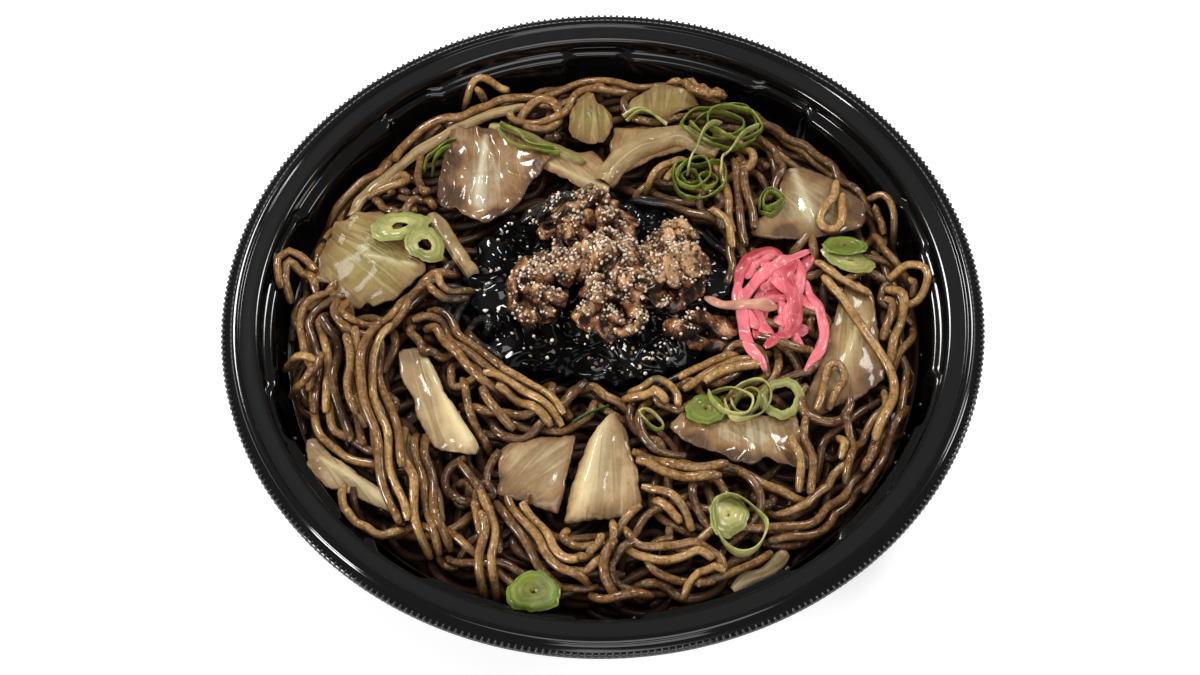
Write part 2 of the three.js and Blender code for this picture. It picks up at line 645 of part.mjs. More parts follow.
// ---------------------------------------------------------------- pickled ginger
// Flat shreds that arch over a small core and are fused to it.
function ginger() {
  const bed = { x: 48, y: 2, rx: 8, ry: 14, thick: 3.6, edge: 1.4 };
  let tuft = solidOf(mound({ ...bed, folds: 0.3, lobes: 3, seed: 9, rings: 3, spokes: 10 }));
  const top = new HeightMap();
  top.raise(geometryOf(tuft));
  const ribbon = new THREE.Shape();
  ribbon.moveTo(-0.7, -1.35).lineTo(0.7, -1.35).lineTo(0.7, 1.35).lineTo(-0.7, 1.35);
  const shreds = [
    { x: 47, y: 9, length: 24, heading: 62, bend: 55, rise: 1.2 },
    { x: 45, y: 3, length: 22, heading: 20, bend: -60, rise: 0.6 },
    { x: 51, y: 6, length: 24, heading: 78, bend: -45, rise: 1.5 },
    { x: 54, y: -5, length: 30, heading: 100, bend: 50, rise: 0.8 },
    { x: 43, y: -7, length: 27, heading: -74, bend: 18, rise: 0.5 },
    { x: 49, y: -4, length: 21, heading: -40, bend: 60, rise: 1.4 },
  ];
  for (const { length, bend, rise, ...at } of shreds) {
    const put = placed(at);
    const line = [];
    const steps = 5;
    for (let k = 0; k <= steps; k++) {
      const s = k / steps - 0.5;
      const turned = radians(bend) * s;
      const [x, y] = put(length * s * Math.cos(turned / 2), length * s * Math.sin(turned / 2));
      const low = Math.max(under(x, y, 3.2) + FIT + 1.4, top.over(x, y, 1) + 0.2);
      line.push(new THREE.Vector3(x, y, low + rise * Math.cos(s * Math.PI)));
    }
    const curve = new THREE.CatmullRomCurve3(line);
    tuft = tuft.add(solidOf(new THREE.ExtrudeGeometry(ribbon, { steps, extrudePath: curve })));
  }
  serve("ginger", geometryOf(largest(tuft)), gingerPink);
}

// ---------------------------------------------------------------- the serving
bowl();
const core = heapCore();
ground.raise(core);
middle();
cabbage();
ginger();
springOnion();
noodles(core);

export default yakisoba;
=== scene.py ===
"""Yakisoba in a black plastic bowl: brown noodles, black sauce with pork, cabbage, spring onion, ginger.

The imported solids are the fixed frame. Every piece here takes its place and size from them.
Lengths are millimetres until a mesh is made, and metres in Blender. +Y is the far side of the serving.
"""

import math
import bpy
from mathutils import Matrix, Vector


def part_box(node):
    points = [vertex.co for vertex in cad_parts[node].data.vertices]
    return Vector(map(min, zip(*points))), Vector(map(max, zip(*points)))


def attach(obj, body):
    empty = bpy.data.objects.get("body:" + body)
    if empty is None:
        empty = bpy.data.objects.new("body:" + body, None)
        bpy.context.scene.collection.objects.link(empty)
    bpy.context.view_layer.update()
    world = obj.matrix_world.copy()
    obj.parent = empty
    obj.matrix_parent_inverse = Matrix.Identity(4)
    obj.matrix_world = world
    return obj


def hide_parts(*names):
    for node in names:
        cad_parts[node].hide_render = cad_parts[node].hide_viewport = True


bl_info = {
    "name": "Yakisoba Bowl",
    "version": (1, 0, 0),
    "blender": (4, 5, 0),
    "location": "View3D > Sidebar > Yakisoba",
    "description": "Dresses a served bowl of yakisoba: bowl, noodles, sauce, pork and toppings",
    "category": "Add Mesh",
}

import bpy
import numpy as np
from bpy.props import FloatProperty, FloatVectorProperty, IntProperty, PointerProperty
from mathutils import Matrix, Vector

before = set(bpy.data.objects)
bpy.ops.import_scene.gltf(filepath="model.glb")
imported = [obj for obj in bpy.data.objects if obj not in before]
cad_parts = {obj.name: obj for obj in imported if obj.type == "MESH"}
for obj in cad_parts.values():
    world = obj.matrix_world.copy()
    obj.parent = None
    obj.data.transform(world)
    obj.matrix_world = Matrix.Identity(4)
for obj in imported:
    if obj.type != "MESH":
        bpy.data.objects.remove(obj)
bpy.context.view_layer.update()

MM = 0.001
RIM_RADIUS = max(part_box("bowl")[1].xy) / MM
RIM_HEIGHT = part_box("bowl")[1].z / MM
FLOOR_RADIUS = RIM_RADIUS - 42
FLOOR_HEIGHT = 3.0
FOOT_RADIUS = RIM_RADIUS - 38
SHOULDER_RADIUS = RIM_RADIUS - 13.7  # where the stacking shoulder meets the wall
SHOULDER_HEIGHT = RIM_HEIGHT - 8.5
WALL = 1.2  # thickness of the bowl
HEAP_RADIUS = RIM_RADIUS - 16.5
STEP = 1.4  # spacing of the points along a strand


# ---------------------------------------------------------------- small maths
def lerp(a, b, t):
    return a + (b - a) * t


def smoothstep(value, low, high):
    t = np.clip((value - low) / (high - low), 0.0, 1.0)
    return t * t * (3 - 2 * t)


class Waves:
    """Smooth seeded relief from about -1 to 1: sine waves of one length in random directions."""

    def __init__(self, seed, length, count=9):
        rng = np.random.default_rng(seed)
        angles = rng.uniform(0, 2 * np.pi, count)
        pitch = 2 * np.pi / (length * rng.uniform(0.7, 1.5, count))
        self.along = np.stack([np.cos(angles) * pitch, np.sin(angles) * pitch], axis=1)
        self.phase = rng.uniform(0, 2 * np.pi, count)

    def __call__(self, x, y):
        total = 0.0
        for (ax, ay), phase in zip(self.along, self.phase):
            total = total + np.sin(ax * x + ay * y + phase)
        return total / math.sqrt(len(self.phase) * 1.2)


def spline(points, step=STEP, closed=False):
    """A smooth line through the points, evenly spaced."""
    points = np.array(points, float)
    if closed:
        padded = np.vstack([points[-1], points, points[0], points[1]])
    else:
        padded = np.vstack([2 * points[0] - points[1], points, 2 * points[-1] - points[-2]])
    t = np.linspace(0, 1, 12, endpoint=False)[:, None]
    fine = []
    for a, b, c, d in zip(padded, padded[1:], padded[2:], padded[3:]):
        cubic = (3 * b - a - 3 * c + d) * t**3
        fine.append(b + 0.5 * ((c - a) * t + (2 * a - 5 * b + 4 * c - d) * t**2 + cubic))
    fine = np.vstack([*fine, padded[-2]])
    run = np.concatenate([[0], np.cumsum(np.linalg.norm(np.diff(fine, axis=0), axis=1))])
    count = max(4, int(round(run[-1] / step)) + 1)
    even = np.linspace(0, run[-1], count)
    line = np.stack([np.interp(even, run, column) for column in fine.T], axis=1)
    return line[:-1] if closed else line


def soften(values, times):
    """Evens out a row of numbers, its ends held."""
    values = values.copy()
    for _ in range(times):
        values[1:-1] = (values[:-2] + 2 * values[1:-1] + values[2:]) / 4
    return values


def normals_of(line):
    """Unit vectors to the left of a flat line."""
    ahead = np.gradient(line, axis=0)
    ahead /= np.linalg.norm(ahead, axis=1)[:, None] + 1e-9
    return np.stack([-ahead[:, 1], ahead[:, 0]], axis=1)


# ---------------------------------------------------------------- height map of the serving
# Radii, and how far above the rim the heap's top lies there
HEAP_TOP = np.array([(0, -3.4), (22, -2.8), (40, -2.0), (55, -2.2), (66, -3.2), (75, -4.8),
                     (80, -6.2), (84, -8.8), (92, -12.0)])


def heap_top(radius):
    """Height that the noodles reach at a radius."""
    return RIM_HEIGHT + np.interp(radius, *HEAP_TOP.T)


def wall_stops():
    """The curved inside wall from shoulder to floor, as radii and heights."""
    stops = 12
    t = np.linspace(0, 1, stops + 1)[1:]
    radius = lerp(SHOULDER_RADIUS, FLOOR_RADIUS + 2, t**1.7)
    return radius, lerp(SHOULDER_HEIGHT, FLOOR_HEIGHT, t**0.95)


def bowl_inside(radius):
    """Height of the bowl's inside surface at a radius."""
    wall_radius, wall_height = wall_stops()
    insets = np.array([13.7, 13.0, 11.2, 10.2, 9.7, 8.2])
    drops = np.array([8.5, 5.4, 4.8, 4.2, 1.4, 0.7])
    radii = [0, FLOOR_RADIUS, *wall_radius[::-1], *(RIM_RADIUS - insets)]
    heights = [FLOOR_HEIGHT, FLOOR_HEIGHT, *wall_height[::-1], *(RIM_HEIGHT - drops)]
    return np.interp(radius, radii, heights)


class Ground:
    """The highest surface laid so far over each cell of the bowl's plan."""

    reach, cell = 93.0, 0.5  # half the plan's width, and a cell's width

    def __init__(self, surface):
        axis = (np.arange(int(2 * self.reach / self.cell)) + 0.5) * self.cell - self.reach
        self.x, self.y = np.meshgrid(axis, axis)
        self.radius = np.hypot(self.x, self.y)
        self.top = surface(self.radius)
        self.last = len(axis) - 1
        self.stencils = {}

    def index(self, xy):
        cells = np.clip(((np.asarray(xy) + self.reach) / self.cell).astype(int), 0, self.last)
        return cells[..., 1], cells[..., 0]

    def at(self, xy, layer=None):
        """Heights at points, or a layer's values there."""
        return (self.top if layer is None else layer)[self.index(xy)]

    def around(self, xy, radius):
        """The cells under a ball at each point, and how far the ball reaches above each."""
        if radius not in self.stencils:
            n = int(radius / self.cell)
            j, i = np.mgrid[-n : n + 1, -n : n + 1]
            away = np.hypot(i, j) * self.cell
            near = away < radius
            self.stencils[radius] = j[near], i[near], np.sqrt(radius**2 - away[near] ** 2)
        j, i, bulge = self.stencils[radius]
        rows, columns = self.index(xy)
        rows = np.clip(rows[:, None] + j, 0, self.last)
        return rows, np.clip(columns[:, None] + i, 0, self.last), bulge

    def clearance(self, xy, radius):
        """The lowest that a ball's middle can lie over each point."""
        rows, columns, bulge = self.around(xy, radius)
        return (self.top[rows, columns] + bulge).max(axis=1)

    def cover(self, xy, height, radius):
        """Lays balls with their middles at these heights."""
        rows, columns, bulge = self.around(xy, radius)
        np.maximum.at(self.top, (rows, columns), height[:, None] + bulge)

    def smoothed(self, reach):
        """The surface with dips and bumps narrower than reach evened out."""
        n = int(reach / self.cell)
        result = self.top
        for _ in range(6):  # three times along each axis
            padded = np.pad(result, ((n + 1, n), (0, 0)), mode="edge")
            total = np.cumsum(padded, axis=0)
            result = ((total[2 * n + 1 :] - total[: -2 * n - 1]) / (2 * n + 1)).T
        return result

    def window(self, outline, margin=1.0):
        """The block of cells that holds an outline."""
        row0, column0 = self.index(outline.min(axis=0) - margin)
        row1, column1 = self.index(outline.max(axis=0) + margin)
        return np.s_[row0 : row1 + 1, column0 : column1 + 1]

    def within(self, outline, window):
        """Which cells of a block lie inside a closed outline."""
        x, y = self.x[window], self.y[window]
        found = np.zeros(x.shape, bool)
        for (ax, ay), (bx, by) in zip(outline, np.roll(outline, -1, axis=0)):
            if ay != by:
                crossing = (ay > y) != (by > y)
                found ^= crossing & (x < (bx - ax) * (y - ay) / (by - ay) + ax)
        return found


class Serving:
    """What has been laid so far: the height map, where toppings lie, and all the strands."""

    # The dark middle is a sheet painted as the shade of the heap's deepest gaps
    core_depth = 10.0  # how far the dark middle lies under the heap's top
    press = 0.3  # how far a bar sinks into what it lies on

    def __init__(self):
        self.ground = Ground(self.core_top)
        self.taken = np.zeros(self.ground.top.shape, bool)
        self.strands = []

    def core_top(self, radius):
        """The dark middle of the heap, a sheet painted as shade, which shows only in its deepest gaps."""
        return np.maximum(heap_top(radius) - self.core_depth, bowl_inside(radius))

    def rest(self, line, radius, settle=30):
        """Heights of a bar of this radius laid along a flat line, sagging a little into what it meets."""
        need = self.ground.clearance(line, radius)
        height = need.copy()
        for _ in range(settle):
            height[1:-1] = np.maximum(need[1:-1], (height[:-2] + 2 * height[1:-1] + height[2:]) / 4)
        return soften(height, 3) - self.press

    def lay(self, line, radius, rng, layer, settle=30, pale=0.5):
        """Lays one noodle along a flat line."""
        height = self.rest(line, radius, settle)
        if layer != "under":
            sway = np.sin(np.linspace(0, np.pi * rng.integers(1, 5), len(line)))
            height += rng.uniform(0, 1.8) * sway**2
        self.ground.cover(line, height, radius)
        girth = 1 + 0.06 * rng.normal() + 0.04 * np.sin(np.arange(len(line)) * rng.uniform(0.05, 0.12))
        girth[[0, -1]] *= 0.72
        tone = np.full(len(line), np.clip(rng.normal(pale, 0.22), 0, 1))
        points = np.column_stack([line, height])
        self.strands.append({"points": points, "girth": girth, "tone": tone, "layer": layer})

    def reserve(self, outline, margin):
        """Keeps later strands off a topping's outline, shrunk by a margin."""
        middle = outline.mean(axis=0)
        away = outline - middle
        size = np.linalg.norm(away, axis=1)[:, None]
        shrunk = middle + away * np.maximum(0.2, 1 - margin / size)
        window = self.ground.window(shrunk)
        self.taken[window] |= self.ground.within(shrunk, window)


serving = Serving()


# ---------------------------------------------------------------- materials
class Value:
    """A number that varies over a surface. Arithmetic on it adds Math nodes."""

    def __init__(self, paint, socket):
        self.paint = paint
        self.socket = socket

    def __add__(self, other):
        return self.paint.math("ADD", self, other)

    __radd__ = __add__

    def __sub__(self, other):
        return self.paint.math("SUBTRACT", self, other)

    def __rsub__(self, other):
        return self.paint.math("SUBTRACT", other, self)

    def __mul__(self, other):
        return self.paint.math("MULTIPLY", self, other)

    def __pow__(self, other):
        return self.paint.math("POWER", self, other)


class Paint:
    """One procedural material under construction."""

    def __init__(self, name):
        self.material = bpy.data.materials.new(name)
        self.material.use_nodes = True
        self.tree = self.material.node_tree
        self.tree.nodes.clear()
        self.place = self.node("ShaderNodeTexCoord", output="Object")

    def node(self, kind, settings=None, inputs=None, output=None):
        """Adds a node: its settings first, then its sockets. Returns the named or the first output."""
        node = self.tree.nodes.new(kind)
        for name, value in (settings or {}).items():
            setattr(node, name, value)
        for name, value in (inputs or {}).items():
            socket = self.socket(node.inputs, name)
            if isinstance(value, Value):
                self.tree.links.new(value.socket, socket)
            else:
                socket.default_value = value
        if not node.outputs:
            return node
        return Value(self, self.socket(node.outputs, output) if output else node.outputs[0])

    @staticmethod
    def socket(sockets, name):
        if isinstance(name, int):
            return sockets[name]
        return next(s for s in sockets if name in (s.identifier, s.name))

    def math(self, operation, *values):
        return self.node("ShaderNodeMath", {"operation": operation}, dict(enumerate(values)))

    def between(self, value, low, high):
        """0 below low, 1 above high, smooth between; falling where low is above high."""
        settings = {"interpolation_type": "SMOOTHSTEP"}
        inputs = {"Value": value, "From Min": min(low, high), "From Max": max(low, high)}
        rising = self.node("ShaderNodeMapRange", settings, inputs)
        return rising if low < high else 1 - rising

    def mix(self, share, a, b):
        """Colour a where the share is 0, colour b where it is 1."""
        a, b = (colour if isinstance(colour, Value) else (*colour, 1.0) for colour in (a, b))
        inputs = {"Factor_Float": share, "A_Color": a, "B_Color": b}
        return self.node("ShaderNodeMix", {"data_type": "RGBA"}, inputs, "Result_Color")

    def over(self, colour, *coats):
        """Lays coats over a colour in turn. Each is the share that it hides, and its own colour."""
        for share, coat in coats:
            colour = self.mix(share, colour, coat)
        return colour

    def shades(self, shade, colours, first, second):
        """Three colours by a shade: dark to middle over the first range, middle to light over the second."""
        dark, middle, light = colours
        lower = self.mix(self.between(shade, *first), dark, middle)
        return self.mix(self.between(shade, *second), lower, light)

    def noise(self, size, detail=3.0, rough=0.6, warp=0.0, where=None):
        """Noise whose lumps are size across."""
        inputs = {"Vector": where or self.place, "Scale": 1 / size, "Detail": detail, "Roughness": rough,
                  "Distortion": warp}
        return self.node("ShaderNodeTexNoise", inputs=inputs, output="Fac")

    def fibres(self, size, squeeze, detail=3.0, rough=0.6):
        """Noise on a piece's map of veins, drawn out along them by squeezing the map's second axis."""
        veins = self.node("ShaderNodeUVMap", {"uv_map": "veins"})
        veins = self.node("ShaderNodeMapping", inputs={"Vector": veins, "Scale": (1.0, squeeze, 1.0)})
        return self.noise(size, detail, rough, where=veins)

    def cells(self, size):
        """Distance to the middles of cells that are size across."""
        inputs = {"Vector": self.place, "Scale": 1 / size}
        return self.node("ShaderNodeTexVoronoi", inputs=inputs, output="Distance")

    def attribute(self, name):
        return self.node("ShaderNodeAttribute", {"attribute_name": name}, output="Fac")

    def part(self, vector, axis):
        return self.node("ShaderNodeSeparateXYZ", inputs={"Vector": vector}, output=axis)

    def bump(self, height, distance, strength):
        inputs = {"Height": height, "Distance": distance, "Strength": strength}
        return self.node("ShaderNodeBump", inputs=inputs)

    def finish(self, colour, roughness, normal=None, coat=None, **fixed):
        """Ends the material in one glossy shader. fixed holds what is the same all over."""
        inputs = {"Roughness": roughness, "Base Color": colour}
        if normal:
            inputs["Normal"] = normal
        if coat is not None:
            inputs["Coat Weight"] = coat
        inputs.update({name.replace("_", " "): value for name, value in fixed.items()})
        shader = self.node("ShaderNodeBsdfPrincipled", inputs=inputs)
        self.node("ShaderNodeOutputMaterial", inputs={"Surface": shader})
        return self.material


def darker(colour, share):
    return tuple(share * part for part in colour)


def black_plastic(name="black_plastic", base=0.0018, polish=0.09):
    """Moulded near-black plastic: satin gloss with cloudy wear, fine grain and a greyer matte lid channel."""
    paint = Paint(name)
    x, y, z = (paint.part(paint.place, axis) for axis in "XYZ")
    radius = (x * x + y * y) ** 0.5
    channel = paint.between(radius, (RIM_RADIUS - 4.5) * MM, (RIM_RADIUS - 5.2) * MM)
    channel *= paint.between(radius, (RIM_RADIUS - 9.0) * MM, (RIM_RADIUS - 8.2) * MM)
    channel *= paint.between(z, (RIM_HEIGHT - 2.0) * MM, (RIM_HEIGHT - 1.4) * MM)
    colour = paint.mix(channel, (base, base * 1.05, base * 1.1), (0.0075, 0.0077, 0.0079))
    roughness = 0.3 + paint.noise(0.012) * 0.1 + channel * 0.2
    normal = paint.bump(paint.noise(0.0004), 0.00008, 0.35)
    return paint.finish(colour, roughness, normal, 0.85, Specular_IOR_Level=0.0, Coat_Roughness=polish)


def noodle_brown():
    """Wheat noodles fried in brown sauce, nearly black near the sauce. Painted shade: darker on their sides
    and undersides than on top, and nearly black deep in the heap between other strands.
    """
    paint = Paint("noodle_brown")
    tone, depth, sauce, up = (paint.attribute(name) for name in ("tone", "depth", "sauce", "up"))
    cloud = paint.noise(0.006, 3.0, 0.65)
    streak = paint.noise(0.0014, 3.0, 0.65)
    fleck = paint.noise(0.0009, 4.0, 0.8)
    # stain: patches of brown sauce, more of them the deeper a point lies, so partly real sauce and partly
    # painted shade
    stain = paint.between(paint.noise(0.006, 3.0, 0.7) + depth * 0.35, 0.50, 0.72)
    # dark: painted shade by how deep a point lies under the heap's top; it also takes away coat there,
    # keeping reflections out of the shaded gaps
    dark = paint.between(depth, 0.10, 0.52)
    shade = tone * 0.65 + cloud * 0.9 + streak * 0.55 - 0.58
    browns = ((0.056, 0.019, 0.004), (0.205, 0.090, 0.019), (0.49, 0.28, 0.090))
    colour = paint.over(
        paint.shades(shade, browns, (0.15, 0.6), (0.45, 0.95)),
        (paint.between(paint.cells(0.0013), 0.24, 0.1) * 0.45, (0.045, 0.018, 0.005)),
        (paint.between(fleck, 0.5, 0.32) * 0.75, (0.060, 0.022, 0.005)),
        # pale flecks: painted small highlights
        (paint.between(fleck, 0.52, 0.70) * 0.6, (0.60, 0.42, 0.20)),
        (stain * 0.7, (0.065, 0.024, 0.005)),
        # painted shade on each strand's sides and underside, by which way its surface faces
        (paint.between(up, 0.7, -0.1) * 0.7, (0.050, 0.018, 0.004)),
        # painted shade deep in the heap
        (dark * 0.92, (0.024, 0.0065, 0.0010)),
        (sauce, (0.004, 0.0035, 0.003)),
    )
    roughness = 0.30 + streak * 0.2 + dark * 0.2 - sauce * 0.15
    normal = paint.bump(paint.noise(0.0011, 4.0, 0.75), 0.0010, 0.65)
    return paint.finish(colour, roughness, normal, 0.66 - dark * 0.5, Coat_Roughness=0.08,
                        Specular_IOR_Level=0.2)


def black_sauce():
    """Thick black sauce: wet, with a skin of small lumps, browner where it is thin."""
    paint = Paint("black_sauce")
    thin = paint.between(paint.noise(0.011), 0.62, 0.78)
    colour = paint.mix(thin * 0.4, (0.0016, 0.0014, 0.0013), (0.012, 0.007, 0.004))
    normal = paint.bump(paint.noise(0.005, 0.0, 0.4, warp=0.4), 0.0012, 0.4)
    wet = paint.between(paint.noise(0.009, 2.0, 0.5), 0.42, 0.6)
    roughness = 0.3 + paint.noise(0.0009) * 0.12
    coat = 0.1 + wet * 0.75
    return paint.finish(colour, roughness, normal, coat, Coat_Roughness=0.06, Specular_IOR_Level=0.0)


def sauce_film():
    """Thin brown sauce splashed on plastic."""
    paint = Paint("sauce_film")
    cloud = paint.noise(0.001, 2.0, 0.5)
    colour = paint.mix(cloud, (0.020, 0.008, 0.003), (0.060, 0.028, 0.010))
    return paint.finish(colour, 0.2 + cloud * 0.1, coat=0.5)


def pork_brown():
    """Browned pork: patches of dark glaze, paler or darker slices by soak, and painted light and shade, with
    the crests of its folds lighter and its hollows darker.
    """
    paint = Paint("pork_brown")
    fold, soak = paint.attribute("fold"), paint.attribute("soak")
    cloud = paint.noise(0.006, 4.0, 0.65)
    fibre = paint.noise(0.0016, 4.0, 0.7, warp=0.6)
    # fold lightens the crests: painted light on crests, painted shade in the hollows
    shade = fold * 0.6 + cloud * 1.1 + fibre * 1.2 - 1.03 + soak * 0.45
    browns = ((0.014, 0.004, 0.0015), (0.185, 0.067, 0.022), (0.62, 0.35, 0.17))
    # glaze: dark sauce in patches, kept a little off the crests, so partly painted shade in the hollows
    glaze = paint.between(paint.noise(0.0055, 4.0, 0.7) - fold * 0.05, 0.50, 0.56)
    colour = paint.over(paint.shades(shade, browns, (0.12, 0.45), (0.45, 0.85)),
                        (glaze * 0.85, (0.010, 0.0045, 0.002)))
    normal = paint.bump(fibre + cloud * 0.8, 0.0014, 0.9)
    return paint.finish(colour, 0.34 + fibre * 0.2, normal, 0.5, Coat_Roughness=0.1, Specular_IOR_Level=0.1)


def leaf_paint(name, pale, deep, ribs, stain, gloss=0.35):
    """A cooked leaf: pale and a little clear, with veins that fan out and painted shade beside them, brown
    sauce on its edges and soaked spots, and browner where it bridges a hollow below it.
    """
    paint = Paint(name)
    rim, dip, rib, soak = (paint.attribute(mark) for mark in ("rim", "dip", "rib", "soak"))
    cloud, mottle, fine = paint.noise(0.008), paint.noise(0.0035), paint.noise(0.001)
    fibre = paint.fibres(1.0, 0.12)
    ridge = paint.fibres(3.2, 0.08, 2.0, 0.5)
    vein = paint.between(paint.math("ABSOLUTE", ridge - 0.5), 0.05, 0.005)
    # beside: a dark line next to each vein, painted shade of its raised ridge
    beside = paint.between(paint.math("ABSOLUTE", ridge - 0.44), 0.06, 0.01)
    shade = paint.between(cloud * 0.75 + fibre * 0.45 + mottle * 0.35, 0.48, 1.05)
    # dip browns the leaf where it bridges a hollow below it
    brown = paint.noise(0.009) * 0.9 + fibre * 0.25 + dip * 0.3 + rim * 0.45 - rib * 0.3
    brown += soak * cloud * 1.5
    colour = paint.over(
        paint.mix(shade, deep, pale),
        # painted shade beside each vein
        (beside * 0.22, darker(deep, 0.45)),
        (vein * 0.45, ribs),
        (rib * 0.85, ribs),
        (paint.between(brown, 0.62, 1.25) * stain, (0.22, 0.10, 0.028)),
        (paint.between(brown, 1.0, 1.5) * stain, (0.05, 0.022, 0.008)),
    )
    normal = paint.bump(fibre * 0.6 + vein * 0.35 + fine * 0.3 + mottle * 1.1, 0.0010, 0.6)
    roughness = 0.36 + fine * 0.14 + cloud * 0.1
    return paint.finish(colour, roughness, normal, gloss, Coat_Roughness=0.09, Subsurface_Weight=0.2,
                        Subsurface_Radius=(1.0, 0.6, 0.3), Subsurface_Scale=0.002, Specular_IOR_Level=0.2)


def onion_paint(name, outer, inner, core=None, banding=0.4, heart=0.0):
    """Cut spring onion: rings of darker and paler green round the cut, and a dark heart where asked."""
    paint = Paint(name)
    across = paint.attribute("across")
    cloud, fine = paint.noise(0.003), paint.noise(0.0007)
    rings = paint.math("SINE", across * 24 + cloud * 6) * 0.5 + 0.5
    middle = paint.between(across + cloud * 0.3, 0.95, 0.5)
    blotch = paint.between(paint.noise(0.005), 0.45, 0.7)
    colour = paint.over(
        paint.mix(paint.between(across + cloud * 0.4, 0.35, 1.05), inner, outer),
        (rings * banding, core or inner),
        (middle * heart, (0.085, 0.088, 0.012)),
        (blotch * 0.5, darker(outer, 0.5)),
    )
    normal = paint.bump(rings * 0.4 + fine * 0.6, 0.0003, 0.6)
    return paint.finish(colour, 0.26 + fine * 0.2, normal, 0.35, Coat_Roughness=0.12, Specular_IOR_Level=0.15,
                        Subsurface_Weight=0.3, Subsurface_Radius=(0.6, 1.0, 0.3), Subsurface_Scale=0.002)


def ginger_paint(name, deep, bright, edge):
    """Pickled ginger: wet shreds, paler and clearer at their thin edges, with fibres along them."""
    paint = Paint(name)
    tone, rim = paint.attribute("tone"), paint.attribute("rim")
    fibre = paint.fibres(0.45, 0.12)
    shade = paint.between(tone * 0.6 + paint.noise(0.004) * 0.5 + fibre * 0.6, 0.45, 1.2)
    colour = paint.over(paint.mix(shade, deep, bright), (rim * 0.45, edge))
    normal = paint.bump(fibre, 0.0006, 0.6)
    return paint.finish(colour, 0.3 + fibre * 0.2, normal, 0.35, Coat_Roughness=0.12,
                        Subsurface_Weight=0.12, Subsurface_Radius=(1.0, 0.35, 0.3), Subsurface_Scale=0.002)


def seasoning_cream():
    """Sesame and coarse pepper: cream grains, some of them tan or dark."""
    paint = Paint("seasoning_cream")
    tone = paint.attribute("tone")
    cloud = paint.noise(0.0006, 2.0, 0.5)
    colour = paint.over(
        paint.mix(paint.between(tone, 0.25, 0.6), (0.20, 0.12, 0.06), (0.72, 0.60, 0.46)),
        (paint.between(tone, 0.16, 0.1), (0.012, 0.009, 0.007)),
        (cloud * 0.3, (0.30, 0.19, 0.10)),
    )
    return paint.finish(colour, 0.4 + cloud * 0.1, paint.bump(cloud, 0.0002, 0.5))


def studio_floor(colour):
    """Matt pale board with a trace of tooth."""
    paint = Paint("studio_floor")
    pale = paint.mix(paint.noise(0.004, 2.0, 0.5) * 0.03, tuple(colour), (0.7, 0.7, 0.7))
    return paint.finish(pale, 0.9, Emission_Color=(1.0, 1.0, 1.0, 1.0), Emission_Strength=0.42)


# ---------------------------------------------------------------- meshes
def piece_of(name, points, faces, material, edges=()):
    """An object from points in millimetres, a list of faces and a list of bare edges."""
    mesh = bpy.data.meshes.new(name)
    mesh.from_pydata((np.asarray(points) * MM).tolist(), edges, faces)
    mesh.materials.append(material)
    mesh.shade_smooth()
    piece = bpy.data.objects.new(name, mesh)
    bpy.context.scene.collection.objects.link(piece)
    return piece


def ring_of(turns):
    """Angles of points spaced evenly round a ring."""
    return np.arange(turns) * 2 * np.pi / turns


def ring_faces(rows, turns):
    """Quads between rings of points, outwards and anticlockwise."""
    faces = []
    for i in range(rows - 1):
        for k in range(turns):
            n = (k + 1) % turns
            faces.append((i * turns + k, (i + 1) * turns + k, (i + 1) * turns + n, i * turns + n))
    return faces


def closed_faces(rows, turns):
    """Faces of rings of points that are closed at both ends by the two points after them."""
    faces = ring_faces(rows, turns)
    end = rows * turns
    for k in range(turns):
        n = (k + 1) % turns
        faces.append((end, k, n))
        faces.append((end + 1, end - turns + n, end - turns + k))
    return faces


def store(piece, **values):
    """Keeps per-point numbers on a mesh for its material to read."""
    for name, value in values.items():
        layer = piece.data.attributes.new(name, "FLOAT", "POINT")
        layer.data.foreach_set("value", np.asarray(value, np.float32).ravel())


def map_veins(piece, flat):
    """A UV map from two numbers per point: the first runs across the veins and the second along them."""
    layer = piece.data.uv_layers.new(name="veins")
    corners = np.zeros(len(piece.data.loops), int)
    piece.data.loops.foreach_get("vertex_index", corners)
    layer.data.foreach_set("uv", flat[corners].astype(np.float32).ravel())


def serve(piece, slot, *nodes):
    """Makes a piece part of the serving."""
    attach(piece, "root")
    if nodes:
        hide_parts(*nodes)


